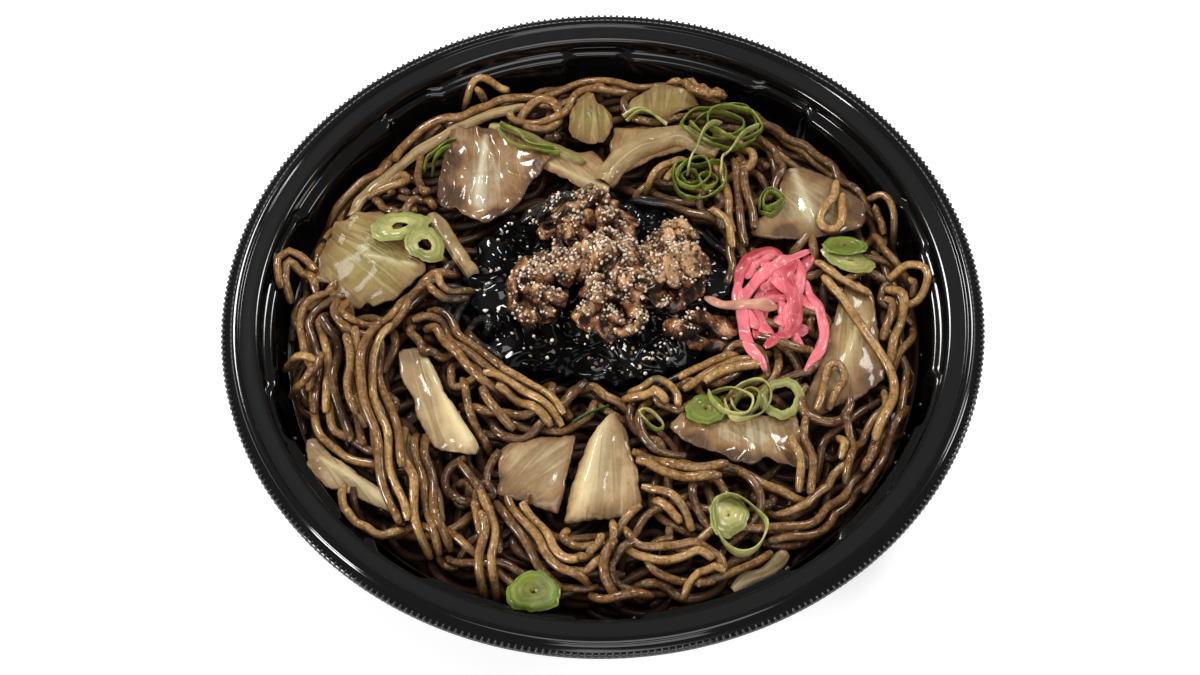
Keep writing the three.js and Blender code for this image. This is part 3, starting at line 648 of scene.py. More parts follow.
class Tree:
    """A Geometry Nodes tree under construction, with named inputs."""

    def __init__(self, name, **inputs):
        self.group = bpy.data.node_groups.new(name, "GeometryNodeTree")
        self.group.interface.new_socket("Geometry", in_out="INPUT", socket_type="NodeSocketGeometry")
        self.group.interface.new_socket("Geometry", in_out="OUTPUT", socket_type="NodeSocketGeometry")
        for label, kind in inputs.items():
            self.group.interface.new_socket(label, in_out="INPUT", socket_type=f"NodeSocket{kind}")
        self.given = self.group.nodes.new("NodeGroupInput")

    def input(self, name):
        return self.given.outputs[name]

    def node(self, kind, settings=None, **inputs):
        """Adds a node: its settings first, then its sockets. Returns the first output."""
        node = self.group.nodes.new(kind)
        for name, value in (settings or {}).items():
            setattr(node, name, value)
        for name, value in inputs.items():
            label = name.replace("_", " ")
            socket = next(s for s in node.inputs if s.name == label and s.enabled)
            if isinstance(value, bpy.types.NodeSocket):
                self.group.links.new(value, socket)
            else:
                socket.default_value = value
        return node.outputs[0]

    def attribute(self, name):
        return self.node("GeometryNodeInputNamedAttribute", {"data_type": "FLOAT"}, Name=name)

    def end(self, geometry):
        """Shades, realises and paints the geometry, and closes the tree."""
        smooth = self.node("GeometryNodeSetShadeSmooth", Geometry=geometry)
        whole = self.node("GeometryNodeRealizeInstances", Geometry=smooth)
        painted = self.node("GeometryNodeSetMaterial", Geometry=whole, Material=self.input("Material"))
        last = self.group.nodes.new("NodeGroupOutput")
        self.group.links.new(painted, last.inputs[0])
        return self.group

    @staticmethod
    def apply(group, piece, **values):
        """Runs the tree on a piece with these inputs, and keeps what it makes as the piece's plain mesh."""
        modifier = piece.modifiers.new(group.name, "NODES")
        modifier.node_group = group
        for item in group.interface.items_tree:
            if item.in_out == "INPUT" and item.name in values:
                modifier[item.identifier] = values[item.name]
        depsgraph = bpy.context.evaluated_depsgraph_get()
        mesh = bpy.data.meshes.new_from_object(piece.evaluated_get(depsgraph), preserve_all_data_layers=True,
                                               depsgraph=depsgraph)
        piece.modifiers.clear()
        mesh.name = piece.name
        piece.data = mesh


# ---------------------------------------------------------------- bowl
# How far in from the rim's edge, and how far below its top, the section's corners lie
LEDGES = [(13.7, 8.5), (13.1, 5.5), (12.6, 4.95), (11.3, 4.75), (10.4, 4.4), (10.1, 3.9), (9.75, 1.6),
          (9.35, 1.0), (8.5, 0.75), (8.1, 0.7), (5.1, 0.7), (4.75, 0.6), (4.45, 0.12), (4.1, 0.0), (3.3, 0.0)]
LIP = [(2.75, 0.2), (2.4, 0.85), (0.75, 1.35), (0.2, 1.7), (0.0, 2.2), (0.0, 2.9), (0.35, 3.1), (1.2, 3.1),
       (1.7, 2.6), (2.4, 1.95), (8.3, 1.95), (8.8, 2.6), (9.1, 5.2), (11.6, 6.3), (12.2, 7.0), (12.4, 8.6)]


def bowl_section():
    """Half section of the bowl: from its floor's middle up the inside, over the rim and down the outside."""
    wall_radius, wall_height = wall_stops()
    inside = np.column_stack([wall_radius, wall_height])[:-1][::-1]
    outside = np.column_stack([wall_radius + WALL, wall_height - 0.4])[:-1]
    floor = [(0, FLOOR_HEIGHT), (FLOOR_RADIUS - 20, FLOOR_HEIGHT), (FLOOR_RADIUS - 2, FLOOR_HEIGHT)]
    base = FLOOR_HEIGHT - WALL
    foot = [(FOOT_RADIUS + 1.6, 1.5), (FOOT_RADIUS + 0.7, 0.2), (FOOT_RADIUS, 0), (FOOT_RADIUS - 4, 0),
            (FOOT_RADIUS - 5, 0.3), (FOOT_RADIUS - 6.5, base), (FOOT_RADIUS - 20, base), (0, base)]
    rim = [(RIM_RADIUS - inset, RIM_HEIGHT - drop) for inset, drop in LEDGES + LIP]
    return rounded(np.array([*floor, *inside, *rim, *outside, *foot], float))


def rounded(points):
    """An open line with its corners cut once, its ends kept."""
    a, b = points[:-1], points[1:]
    cut = np.stack([0.75 * a + 0.25 * b, 0.25 * a + 0.75 * b], axis=1).reshape(-1, 2)
    return np.vstack([points[:1], cut, points[-1:]])


def pocket(angle, height, pockets, depth):
    """How far the wall steps out in the gaps of the stacking shoulder."""
    edge_out, edge_in = 0.16, 0.125  # half a gap's width, as a share of its pitch
    turn = (angle * pockets / (2 * np.pi)) % 1
    share = smoothstep(np.abs(turn - 0.5), edge_out, edge_in)
    from_below = smoothstep(height, 25, 34)
    from_above = smoothstep(height, RIM_HEIGHT - 3.6, RIM_HEIGHT - 4.6)
    return depth * share * from_below * from_above


def make_bowl(settings):
    """The shell, turned from its section, with its pockets pressed out."""
    section = bowl_section()[1:-1]
    angles = ring_of(settings.facets)
    radius, height = (column[:, None] for column in section.T)
    pressed = pocket(angles[None], height, settings.pockets, settings.pocket_depth / MM)
    grown = radius + pressed * (radius > FOOT_RADIUS)
    ring = np.stack([grown * np.cos(angles), grown * np.sin(angles), height + 0 * angles], axis=2)
    points = [*ring.reshape(-1, 3), (0, 0, FLOOR_HEIGHT), (0, 0, FLOOR_HEIGHT - WALL)]
    # each face starts at its second point, which sets the diagonal that a quad is split along
    faces = [(*face[1:], face[0]) for face in closed_faces(len(section), len(angles))]
    serve(piece_of("bowl_shell", points, faces, black_plastic()), "bowl", "bowl")
    make_knurls(settings)


def make_knurls(settings):
    """Short upright ribs round the lowest part of the outer edge."""
    tree = Tree("knurled_edge", Material="Material", Count="Int", Radius="Float", Height="Float",
                Size="Vector")
    ring = tree.node("GeometryNodeMeshCircle", Vertices=tree.input("Count"), Radius=tree.input("Radius"))
    rib = tree.node("GeometryNodeMeshIcoSphere", Radius=1.0, Subdivisions=2)
    place = tree.node("GeometryNodeInputPosition")
    outward = tree.node("FunctionNodeAlignRotationToVector", {"axis": "X"}, Vector=place)
    ribs = tree.node("GeometryNodeInstanceOnPoints", Points=ring, Instance=rib, Rotation=outward,
                     Scale=tree.input("Size"))
    lift = tree.node("ShaderNodeCombineXYZ", Z=tree.input("Height"))
    group = tree.end(tree.node("GeometryNodeTransform", Geometry=ribs, Translation=lift))
    # The knurls get a dark grey base instead of near black: painted sheen for the light their small faces
    # catch
    material = black_plastic("black_plastic_knurled", 0.022, 0.18)
    base = piece_of("bowl_knurls", [(0, 0, 0)], [], material)
    half_sizes = (0.00085, 0.00048, 0.0011)  # outwards, along the edge and upwards
    Tree.apply(group, base, Material=material, Count=settings.knurls, Radius=(RIM_RADIUS - 0.55) * MM,
               Height=(RIM_HEIGHT - 2.0) * MM, Size=half_sizes)
    serve(base, "bowl")


# ---------------------------------------------------------------- noodles
def bar_tree(name, upright=False):
    """A tree that sweeps a round bar along every line of a mesh, or a band that keeps upright."""
    tree = Tree(name, Material="Material", Width="Float", Thickness="Float")
    line = tree.node("GeometryNodeMeshToCurve", Mesh=tree.input("Geometry"))
    mode = "Z_UP" if upright else "MINIMUM_TWIST"
    line = tree.node("GeometryNodeSetCurveNormal", {"mode": mode}, Curve=line)
    if upright:
        line = tree.node("GeometryNodeSetCurveTilt", Curve=line, Tilt=tree.attribute("tilt"))
    section = tree.node("GeometryNodeCurvePrimitiveCircle", Resolution=8, Radius=0.5)
    size = tree.node("ShaderNodeCombineXYZ", X=tree.input("Width"), Y=tree.input("Thickness"), Z=1.0)
    section = tree.node("GeometryNodeTransform", Geometry=section, Scale=size)
    bar = tree.node("GeometryNodeCurveToMesh", Curve=line, Profile_Curve=section,
                    Scale=tree.attribute("girth"), Fill_Caps=True)
    # The upward share of the surface's normal; the noodle material paints shade on sides and undersides by it
    normal = tree.node("GeometryNodeInputNormal")
    upward = tree.node("ShaderNodeSeparateXYZ", Vector=normal).node.outputs["Z"]
    kept = {"data_type": "FLOAT", "domain": "POINT"}
    bar = tree.node("GeometryNodeStoreNamedAttribute", kept, Geometry=bar, Name="up", Value=upward)
    return tree.end(bar)


def lines_of(name, strands, material, closed=False):
    """A mesh of bare lines that carries each strand's numbers."""
    edges, start = [], 0
    for strand in strands:
        count = len(strand["points"])
        edges += [(start + k, start + k + 1) for k in range(count - 1)]
        if closed:
            edges.append((start + count - 1, start))
        start += count
    points = np.vstack([strand["points"] for strand in strands])
    piece = piece_of(name, points, [], material, edges)
    for key in strands[0]:
        if key not in ("points", "layer"):
            store(piece, **{key: np.concatenate([strand[key] for strand in strands])})
    return piece


def wander(rng, start, heading, length):
    """A strand's way over the heap: loosely round it, turned back by wall and middle, with some curls."""
    wall_from, wall_band = 62, HEAP_RADIUS - 66  # where the wall starts to turn a strand, and over how far
    middle_to, middle_band = 34, 20
    count = int(length / STEP)
    jitter = rng.normal(size=count) * 0.022
    bend = rng.normal() * 0.03
    leaning = rng.normal() * 0.6
    curl_at = rng.integers(0, count) if rng.random() < 0.3 else -1
    curl = rng.choice([-1, 1]) / rng.uniform(6.5, 12)
    curl_for = int(rng.uniform(18, 45) / STEP)
    x, y = start
    line = [(x, y)]
    for k in range(count):
        radius = math.hypot(x, y) + 1e-6
        outwards = math.atan2(y, x)
        lean = math.cos(outwards - heading)
        side = 1 if math.sin(heading - outwards) >= 0 else -1
        near_wall = min(1.0, max(0.0, (radius - wall_from) / wall_band))
        near_middle = min(1.0, max(0.0, (middle_to - radius) / middle_band))
        wanted = leaning * (1 - near_wall) * (1 - near_middle) - 0.55 * near_wall + 0.4 * near_middle
        bend = bend * 0.93 + jitter[k]
        steer = 0.06 * (lean - wanted) * (0.4 + near_wall * 2 + near_middle)
        turn = bend + side * (0.5 / max(radius, 20) + steer)
        if curl_at <= k < curl_at + curl_for and radius < HEAP_RADIUS - 5:
            turn = curl
        heading += turn * STEP
        x, y = x + math.cos(heading) * STEP, y + math.sin(heading) * STEP
        line.append((x, y))
    return np.array(line)


def longest_run(good):
    """Start and end of the longest stretch of True."""
    best, start = (0, 0), None
    for k, flag in enumerate([*good, False]):
        if flag and start is None:
            start = k
        if not flag and start is not None:
            if k - start > best[1] - best[0]:
                best = (start, k)
            start = None
    return best


# Strands that stand out one by one: how many more lie beside each, and its route
HAND_LAID = [
    (1, (-77, 10), (-78, 14), (-81, 18), (-84, 20), (-84, 15), (-82, 10)),
    (1, (-87, 24), (-87, 17), (-85, 10), (-82, 6), (-78, 5), (-75, 8), (-74, 12)),
    (2, (-68, 7), (-75, 5), (-78, 0), (-76, -7), (-74, -13), (-74, -18), (-75, -28)),
    (2, (-72, 4), (-68, -5), (-67, -12), (-67, -20), (-65, -29), (-62, -38)),
    (1, (-67, 5), (-68, 0), (-65, -4), (-61, -4), (-55, 0), (-51, 8), (-46, 13), (-38, 14)),
    (1, (-44, 12), (-43, 8), (-39, 6), (-34, 8)),
    (2, (-50, -2), (-46, -1), (-42, -3), (-39, -9), (-34, -14), (-28, -20), (-21, -23)),
    (0, (-27, -14), (-32, -9), (-36, -4), (-34, 0), (-30, 0), (-29, -4), (-32, -6)),
    (0, (-37, -20), (-34, -30), (-29, -40)),
    (0, (-32, -24), (-29, -29), (-23, -34)),
    (1, (-64, -49), (-64, -53), (-61, -58), (-56, -61), (-51, -59)),
    (2, (-48, -34), (-49, -42), (-46, -50), (-45, -60), (-42, -68)),
    (1, (-33, -50), (-29, -61), (-28, -70)),
    (2, (-61, -8), (-61, -18), (-57, -30), (-55, -42), (-52, -53)),
    (1, (-64, -7), (-63, -18), (-63, -24), (-60, -33)),
    (1, (-55, -5), (-60, -16), (-59, -25), (-56, -36), (-54, -47), (-50, -60)),
    (0, (-84, -9), (-80, -10), (-75, -13)),
    (0, (-82, -19), (-78, -20), (-75, -17), (-74, -12)),
    (2, (-31, -20), (-25, -22), (-19, -25), (-15, -29), (-11, -34)),
    (1, (6, -22), (10, -23), (14, -22), (18, -26), (19, -30)),
    (1, (7, -42), (11, -43), (17, -46), (25, -48), (31, -47)),
    (1, (9, -52), (15, -55), (20, -59), (22, -64)),
    (1, (5, -64), (7, -69), (12, -70), (17, -69), (23, -68), (28, -71), (29, -75)),
    (1, (1, -62), (1, -69), (-2, -74), (-6, -76), (-11, -75)),
    (1, (6, -69), (2, -73), (1, -77), (4, -80), (8, -82)),
    (1, (18, -81), (21, -77), (26, -75), (29, -76)),
    (0, (-5, -81), (-1, -83), (4, -83), (11, -81)),
    (2, (-25, -54), (-22, -61), (-18, -67), (-15, -72), (-11, -76), (-5, -79)),
    (1, (-31, -54), (-28, -63), (-29, -72), (-27, -79)),
    (1, (76, 10), (81, 14), (85, 13), (86, 10), (84, 5), (80, 2)),
    (1, (75, 7), (79, 4), (79, -2), (77, -8), (75, -15)),
    (1, (73, 38), (77, 38), (79, 32), (79, 24)),
    (2, (37, 50), (37, 40), (38, 30), (39, 20)),
    (2, (20, -25), (27, -20), (35, -16), (40, -14)),
    (1, (51, -34), (51, -40), (53, -46), (51, -55)),
    (1, (61, -32), (62, -39), (63, -42), (61, -51)),
    (1, (78, -28), (74, -35), (71, -44), (65, -52)),
    (1, (-38, 76), (-33, 80), (-25, 78)),
    (1, (20, 81), (26, 80), (30, 76), (36, 74)),
    (1, (-13, 43), (-10, 39), (-5, 39), (-2, 41)),
    (1, (-21, 30), (-13, 31), (-6, 31)),
    (1, (13, 40), (17, 46), (21, 50)),
    (1, (30, 31), (34, 26), (36, 19)),
]

# The same for the strands that stay palest
PALE_LAID = [
    (0, (59, 10), (63, 3), (67, -5), (72, -12), (75, -20), (73, -30), (69, -40)),
    (0, (65, 42), (63, 36), (60, 31), (60, 27), (63, 26), (65, 30), (66, 38)),
    (0, (54, -32), (56, -26), (58, -20), (60, -18), (62, -21), (60, -26), (58, -31)),
    (0, (57, 15), (61, 11), (66, 8), (71, 5)),
]


def bundle_of(rng, middle, radius):
    """Flat lines of two to five strands that run side by side through a point, drawn one at a time."""
    outwards = math.atan2(middle[1], middle[0])
    heading = outwards + math.pi / 2 * rng.choice([-1, 1]) + rng.normal() * 0.7
    half = wander(rng, middle, heading, rng.uniform(28, 75))
    other = wander(rng, middle, heading + math.pi, rng.uniform(28, 75))
    base = np.vstack([other[::-1], half[1:]])
    side = normals_of(base)
    bundle = rng.integers(2, 6)
    along = np.arange(len(base)) * STEP
    for n in range(bundle):
        offset = (n - (bundle - 1) / 2) * radius * 2.1 + rng.normal() * 0.4
        drift = np.sin(along * 0.03 + rng.uniform(0, 6)) * rng.uniform(0, 1.8)
        pace = 2 * np.pi / rng.uniform(9, 20)
        drift += np.sin(along * pace + 1.8 * np.sin(along * 0.06 + n)) * rng.uniform(0.05, 0.6)
        line = base + side * (offset + drift)[:, None]
        yield line[rng.integers(0, 14) : len(line) - rng.integers(0, 14)]


def fill_with_noodles(settings, rng, layer, drop, length, clear=False, shortest=26):
    """Lays bundles of strands wherever the heap is still low, up to drop below its final top."""
    most_tries, tries_per_look, proudest = 4000, 12, 1.6
    ground = serving.ground
    radius = settings.thickness / MM / 2
    target = heap_top(ground.radius) - drop
    open_heap = ground.radius < HEAP_RADIUS - 1
    if clear:
        open_heap &= ~serving.taken
    laid = 0.0
    for tries in range(most_tries):
        if tries % tries_per_look == 0:
            hollow = np.clip(target - ground.smoothed(1.5), 0, None) * open_heap
            total = np.cumsum((hollow**1.5).ravel())
            if laid > length / MM or total[-1] <= 0:
                break
        cell = np.searchsorted(total, rng.random() * total[-1])
        middle = np.array([ground.x.ravel()[cell], ground.y.ravel()[cell]])
        for line in bundle_of(rng, middle, radius):
            apart = np.linalg.norm(line, axis=1)
            proud = serving.rest(line, radius) + radius - heap_top(apart) + drop
            good = (apart < HEAP_RADIUS) & (proud < proudest)
            if clear:
                good &= ~ground.at(line, serving.taken)
            first, last = longest_run(good)
            if (last - first) * STEP >= shortest:
                serving.lay(line[first:last], radius, rng, layer)
                laid += (last - first) * STEP


def lay_by_hand(settings, rng):
    """Lays the strands that show most, each with the strands beside it."""
    radius = settings.thickness / MM / 2
    for routes, pale in ((HAND_LAID, 0.62), (PALE_LAID, 0.98)):
        for beside, *route in routes:
            base = spline(route)
            side = normals_of(base)
            along = np.arange(len(base)) * STEP
            for n in range(beside + 1):
                sway = 0.5 * np.sin(along * 2 * np.pi / rng.uniform(18, 34) + rng.uniform(0, 6))
                spread = (n + 1) // 2 * (-1) ** n * radius * 2.3 + sway + rng.normal() * 0.3
                line = base + side * spread[:, None]
                cut = rng.integers(0, 5, 2) if n else (0, 0)
                line = line[cut[0] : len(line) - cut[1]]
                if np.linalg.norm(line, axis=1).max() < RIM_RADIUS - 11:
                    serving.lay(line, radius, rng, "top", settle=12, pale=pale)


def make_noodles(settings):
    """Sweeps every strand that has been laid, layer by layer, and makes the dark middle of the heap, a sheet
    painted as shade.
    """
    material = noodle_brown()
    group = bar_tree("noodle_sweep")
    ground = serving.ground
    envelope = ground.smoothed(3.0)
    size = settings.thickness
    for strand in serving.strands:
        x, y, z = strand["points"].T
        # How deep each point lies under the heap's smoothed top; the material paints shade by it
        below = ground.at(strand["points"][:, :2], envelope) - z
        strand["depth"] = np.clip((below + 1.0) / 9, 0, 1)
        strand["sauce"] = sauce_share(x, y, strand["tone"][0])
    for layer in sorted({strand["layer"] for strand in serving.strands}):
        strands = [strand for strand in serving.strands if strand["layer"] == layer]
        piece = lines_of(f"noodles_{layer}", strands, material)
        Tree.apply(group, piece, Material=material, Width=size, Thickness=size * 0.93)
        serve(piece, "noodle", "noodles")
    make_core(material)


def make_core(material):
    """The closed middle of the heap, under the strands, painted as the shade of its deepest gaps."""
    rings, clear = 34, 0.8
    angles = ring_of(120)
    radius = np.linspace(0, HEAP_RADIUS, rings + 1)[1:, None]
    lumps = Waves(4, 14)
    x, y = radius * np.cos(angles), radius * np.sin(angles)
    top = heap_top(radius) - serving.core_depth - clear + 0.6 * lumps(x, y)
    wall_radius, wall_height = (stops[1:-1, None] for stops in wall_stops())
    x = np.vstack([x, (wall_radius - 1) * np.cos(angles)])
    y = np.vstack([y, (wall_radius - 1) * np.sin(angles)])
    z = np.vstack([np.maximum(top, bowl_inside(radius) + 0.5), wall_height + clear + 0 * angles])
    middle = heap_top(0) - serving.core_depth - clear
    points = [*np.stack([x, y, z], axis=2).reshape(-1, 3), (0, 0, middle), (0, 0, FLOOR_HEIGHT + clear)]
    core = piece_of("noodles_core", points, closed_faces(len(x), len(angles)), material)
    # A depth of 1 gives it the full painted shade of the deepest gaps, and its sauce share of 0.3 darkens it
    # further
    shade = np.full(len(points), 0.3)
    store(core, tone=shade, depth=np.ones(len(points)), sauce=shade)
    serve(core, "noodle", "noodles")


# ---------------------------------------------------------------- soft pieces laid on the heap
BURIED = -1e3  # a height below everything
VEIN_PITCH = 1.6  # millimetres on a piece to one unit of its map of veins


def neighbours(grid):
    """A grid of heights shifted by one cell each way."""
    padded = np.pad(grid, 1, mode="edge")
    return padded[2:, 1:-1], padded[:-2, 1:-1], padded[1:-1, 2:], padded[1:-1, :-2]


class Sheet:
    """The underside of something soft laid over the serving: it bridges dips and rounds bumps."""

    def __init__(self, outline, passes, sag=0.01, hang=3.0):
        ground = serving.ground
        self.window = ground.window(outline, 3.0)
        mask = ground.within(outline, self.window)
        need = np.maximum(ground.top[self.window], heap_top(ground.radius[self.window]) - hang)
        height = np.where(mask, need, need[mask].mean())
        need = np.where(mask, need, BURIED)
        for turn in range(passes + 3):  # the last three only smooth it
            mean = sum(neighbours(height)) / 4
            height = np.maximum(need, mean - sag) if turn < passes else mean
        self.height = height
        self.dip = np.where(mask, (height - ground.top[self.window]).clip(0), 0)

    def sample(self, xy, layer=None):
        """Heights between the cells' middles."""
        ground = serving.ground
        grid = self.height if layer is None else layer
        rows, columns = self.window
        place = (np.asarray(xy) + ground.reach) / ground.cell - 0.5
        x = np.clip(place[..., 0] - columns.start, 0, grid.shape[1] - 1.001)
        y = np.clip(place[..., 1] - rows.start, 0, grid.shape[0] - 1.001)
        i, j = x.astype(int), y.astype(int)
        a, b = x - i, y - j
        low = grid[j, i] * (1 - a) + grid[j, i + 1] * a
        high = grid[j + 1, i] * (1 - a) + grid[j + 1, i + 1] * a
        return low * (1 - b) + high * b


def anticlockwise(outline):
    x, y = outline.T
    area = np.sum(x * np.roll(y, -1) - np.roll(x, -1) * y)
    return outline if area > 0 else outline[::-1]


def cut_edge(points, step):
    """A closed outline with straight sides and corners only just rounded."""
    corners = np.array([*points, points[0]], float)
    runs = np.concatenate([[0], np.cumsum(np.linalg.norm(np.diff(corners, axis=0), axis=1))])
    stops = np.linspace(0, runs[-1], int(runs[-1] / step), endpoint=False)
    line = np.column_stack([np.interp(stops, runs, column) for column in corners.T])
    for _ in range(4):
        line = (np.roll(line, 1, axis=0) + 2 * line + np.roll(line, -1, axis=0)) / 4
    return line


def frayed(points, seed, ragged, step, crisp=False):
    """A closed outline through the points, with a ragged edge."""
    outline = anticlockwise(cut_edge(points, step) if crisp else spline(points, step, closed=True))
    rough, fine = Waves(seed, 7.0), Waves(seed + 1, 2.2)
    push = ragged * (0.8 * rough(*outline.T) + 0.35 * fine(*outline.T))
    away = outline - outline.mean(axis=0)
    return outline + away / np.linalg.norm(away, axis=1)[:, None] * push[:, None]


def cover_with(outline, xy, top):
    """Raises the height map to a piece's top, from points spread over it."""
    ground = serving.ground
    window = ground.window(outline)
    mask = ground.within(outline, window)
    found = np.full(ground.top.shape, BURIED)
    np.maximum.at(found, ground.index(xy.reshape(-1, 2)), top.ravel())
    found = found[window]
    for _ in range(3):
        found = np.where(found < 0, np.max(neighbours(found), axis=0), found)
    ground.top[window] = np.where(mask, np.maximum(ground.top[window], found), ground.top[window])


def patch(name, outline, material, thick, rings, passes, lift=None, press=0.15, hang=3.0, sag=0.01,
          marks=None, veins_from=None):
    """A soft piece with both faces and a closed edge, laid over what is there. thick and lift depend on the
    place and on the share of the way from the middle to the rim, and marks on the place."""
    sheet = Sheet(outline, passes, sag, hang)
    centre = outline.mean(axis=0)
    share = np.linspace(0, 1, rings + 1)[1:, None, None] ** 0.85
    xy = centre + share * (outline - centre)
    share = np.broadcast_to(share[..., 0], xy.shape[:2])

    def levels(place, way):
        """Heights of the bottom and the top."""
        x, y = place[..., 0], place[..., 1]
        low = sheet.sample(place) - press + (lift(x, y, way) if lift else 0)
        return low, low + thick(x, y, way) * np.sqrt(np.clip(1 - way**7, 0, 1))

    def spread(values, single=0.0):
        """Numbers for the top's points, the bottom's and the two middles."""
        return np.concatenate([values.ravel(), values[:-1][::-1].ravel(), [single, single]])

    low, top = levels(xy, share)
    middle_low, middle_top = levels(centre[None, None], np.zeros((1, 1)))
    points = [*np.dstack([xy, top]).reshape(-1, 3), *np.dstack([xy, low])[:-1][::-1].reshape(-1, 3)]
    points += [(*centre, middle_top[0, 0]), (*centre, middle_low[0, 0])]
    piece = piece_of(name, points, closed_faces(2 * rings - 1, len(outline)), material)
    store(piece, rim=spread(share**3), dip=spread(np.clip(sheet.sample(xy, sheet.dip) / 3, 0, 1)))
    for key, rule in (marks or {}).items():
        store(piece, **{key: spread(rule(xy[..., 0], xy[..., 1]), rule(*centre))})
    if veins_from is not None:
        fan(piece, np.array(points)[:, :2], veins_from)
    cover_with(outline, xy, top)
    return piece


def fan(piece, flat, base):
    """Maps veins that fan out from a base point."""
    away = flat - np.array(base, float)
    distance = np.linalg.norm(away, axis=1)
    angle = np.arctan2(away[:, 1], away[:, 0])
    mean = np.arctan2(np.sin(angle).mean(), np.cos(angle).mean())
    turned = (angle - mean + np.pi) % (2 * np.pi) - np.pi
    map_veins(piece, np.column_stack([turned * distance.mean(), distance]) / VEIN_PITCH)


def ribbon(name, route, width, material, thick, arch, seed, taper=0.35, waves=0.4, across=8, passes=60,
           soak=0.0):
    """A strip along a route, with both faces. arch rolls it up across its width like a gutter turned over."""
    line = spline(route, 1.0)
    side = normals_of(line)
    along = np.linspace(0, 1, len(line))
    to_end = np.abs(2 * along - 1)
    ripple = Waves(seed, 9.0)
    half = width / 2 * (1 + 0.12 * ripple(*line.T))
    half = half * (1 - taper * to_end**6)
    s = np.linspace(-1, 1, across + 1)
    xy = line[:, None] + side[:, None] * (s[None, :, None] * half[:, None, None])
    outline = anticlockwise(np.vstack([xy[:, 0], xy[::-1, -1]]))
    low = Sheet(outline, passes).sample(xy) - 0.15
    bow = arch * (1 - s[None] ** 2) + waves * (1 + ripple(xy[..., 0] * 1.5, xy[..., 1] * 1.5)) * 0.5
    edge = np.sqrt(np.clip(1 - s**6, 0, 1))[None] * np.sqrt(np.clip(1 - to_end**24, 0, 1))[:, None]
    top = low + bow + thick * (0.35 + 0.65 * edge)
    bottom = low + bow * 0.9 + thick * 0.3 * (1 - edge)
    points = [*np.dstack([xy, top]).reshape(-1, 3), *np.dstack([xy, bottom]).reshape(-1, 3)]
    piece = piece_of(name, points, strip_faces(len(line), across + 1), material)

    def both(values):
        """Numbers for the top's points, and the same again for the bottom's."""
        return np.tile(np.broadcast_to(values, xy.shape[:2]).ravel(), 2)

    # fold: how near a strip's crest a point lies; the pork material paints crests lighter, as painted light
    ridge = np.clip(1 - s**2 + 0.35 * ripple(xy[..., 0] * 2, xy[..., 1] * 2), 0, 1)
    tone = np.random.default_rng(seed).random()
    store(piece, rim=both(np.abs(s) ** 3), dip=both(0), rib=both(0), soak=both(soak), tone=both(tone),
          fold=both(ridge))
    map_veins(piece, np.column_stack([both(s * width / 2), both((along * len(line))[:, None])]) / VEIN_PITCH)
    cover_with(outline, xy, top)
    serving.reserve(outline, 0.3)
    return piece


def strip_faces(rows, columns):
    """Faces of a strip from two grids of points, the top's and then the bottom's, closed all round."""
    n = rows * columns
    faces = []
    for i in range(rows - 1):
        for k in range(columns - 1):
            a, b = i * columns + k, (i + 1) * columns + k
            faces.append((a, b, b + 1, a + 1))
            faces.append((a + n, a + 1 + n, b + 1 + n, b + n))
        a, b = i * columns, (i + 1) * columns
        faces.append((a + n, b + n, b, a))
        a, b = a + columns - 1, b + columns - 1
        faces.append((a, b, b + n, a + n))
    for k in range(columns - 1):
        a, b = k, (rows - 1) * columns + k
        faces.append((a, a + 1, a + 1 + n, a + n))
        faces.append((b, b + n, b + 1 + n, b + 1))
    return faces


# ---------------------------------------------------------------- sauce, pork and seasoning
def box_of(node):
    """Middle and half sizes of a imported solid's plan, in millimetres."""
    low, high = (np.array(corner)[:2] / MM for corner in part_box(node))
    return (low + high) / 2, (high - low) / 2


SAUCE_MIDDLE, SAUCE_HALF = box_of("black_sauce")
SAUCE_DRIFT = Waves(61, 16)
PORK_NODES = [f"pork_{number}" for number in range(1, 7)]
# Shade added to a slice that is darker than the others, by its node
DARK_PORK = {"pork_6": -0.45}
# Routes of the pale folds on top
PALE_FOLDS = [[(17, 20), (19, 15), (18, 9), (19, 4)], [(20, 21), (24, 17), (23, 12), (25, 7)],
              [(16, 22), (21, 23), (26, 20)]]


def sauce_share(x, y, tone):
    """How far the black sauce has soaked whatever lies at a place: 1 in the pool, 0 well away from it."""
    reach = np.hypot((x - SAUCE_MIDDLE[0]) / SAUCE_HALF[0], (y - SAUCE_MIDDLE[1]) / SAUCE_HALF[1])
    return smoothstep(reach + 0.09 * SAUCE_DRIFT(x, y) + 0.12 * tone, 1.24, 1.0)


def oval(middle, half, lobes, seed):
    """A lobed oval outline."""
    rng = np.random.default_rng(seed)
    angle = np.linspace(0, 2 * np.pi, 16, endpoint=False)
    reach = 1 + 0.07 * np.sin(lobes * angle + rng.uniform(0, 6))
    reach += 0.05 * np.sin((lobes + 3) * angle + rng.uniform(0, 6))
    return np.column_stack([half[0] * reach * np.cos(angle), half[1] * reach * np.sin(angle)]) + middle


def make_sauce():
    """The black pool, with lumps that stand out of it."""
    outline = frayed(oval(SAUCE_MIDDLE, SAUCE_HALF * 0.97, 5, 3), 31, 1.2, 1.0)
    big, mid, small = Waves(71, 12), Waves(72, 7), Waves(73, 3)

    def thick(x, y, way):
        lumps = 2.3 * np.sqrt(mid(x, y) ** 2 + 0.02) + 0.1 * small(x, y) + 0.5 * big(x, y)
        return (0.5 + 1.3 * np.sqrt(1 - way**3) + lumps * (1.1 - 0.5 * way)).clip(0.3)

    pool = patch("black_sauce_pool", outline, black_sauce(), thick, rings=70, passes=60, press=1.0, hang=1.0)
    serve(pool, "sauce", "black_sauce")
    serving.reserve(outline, 2.0)


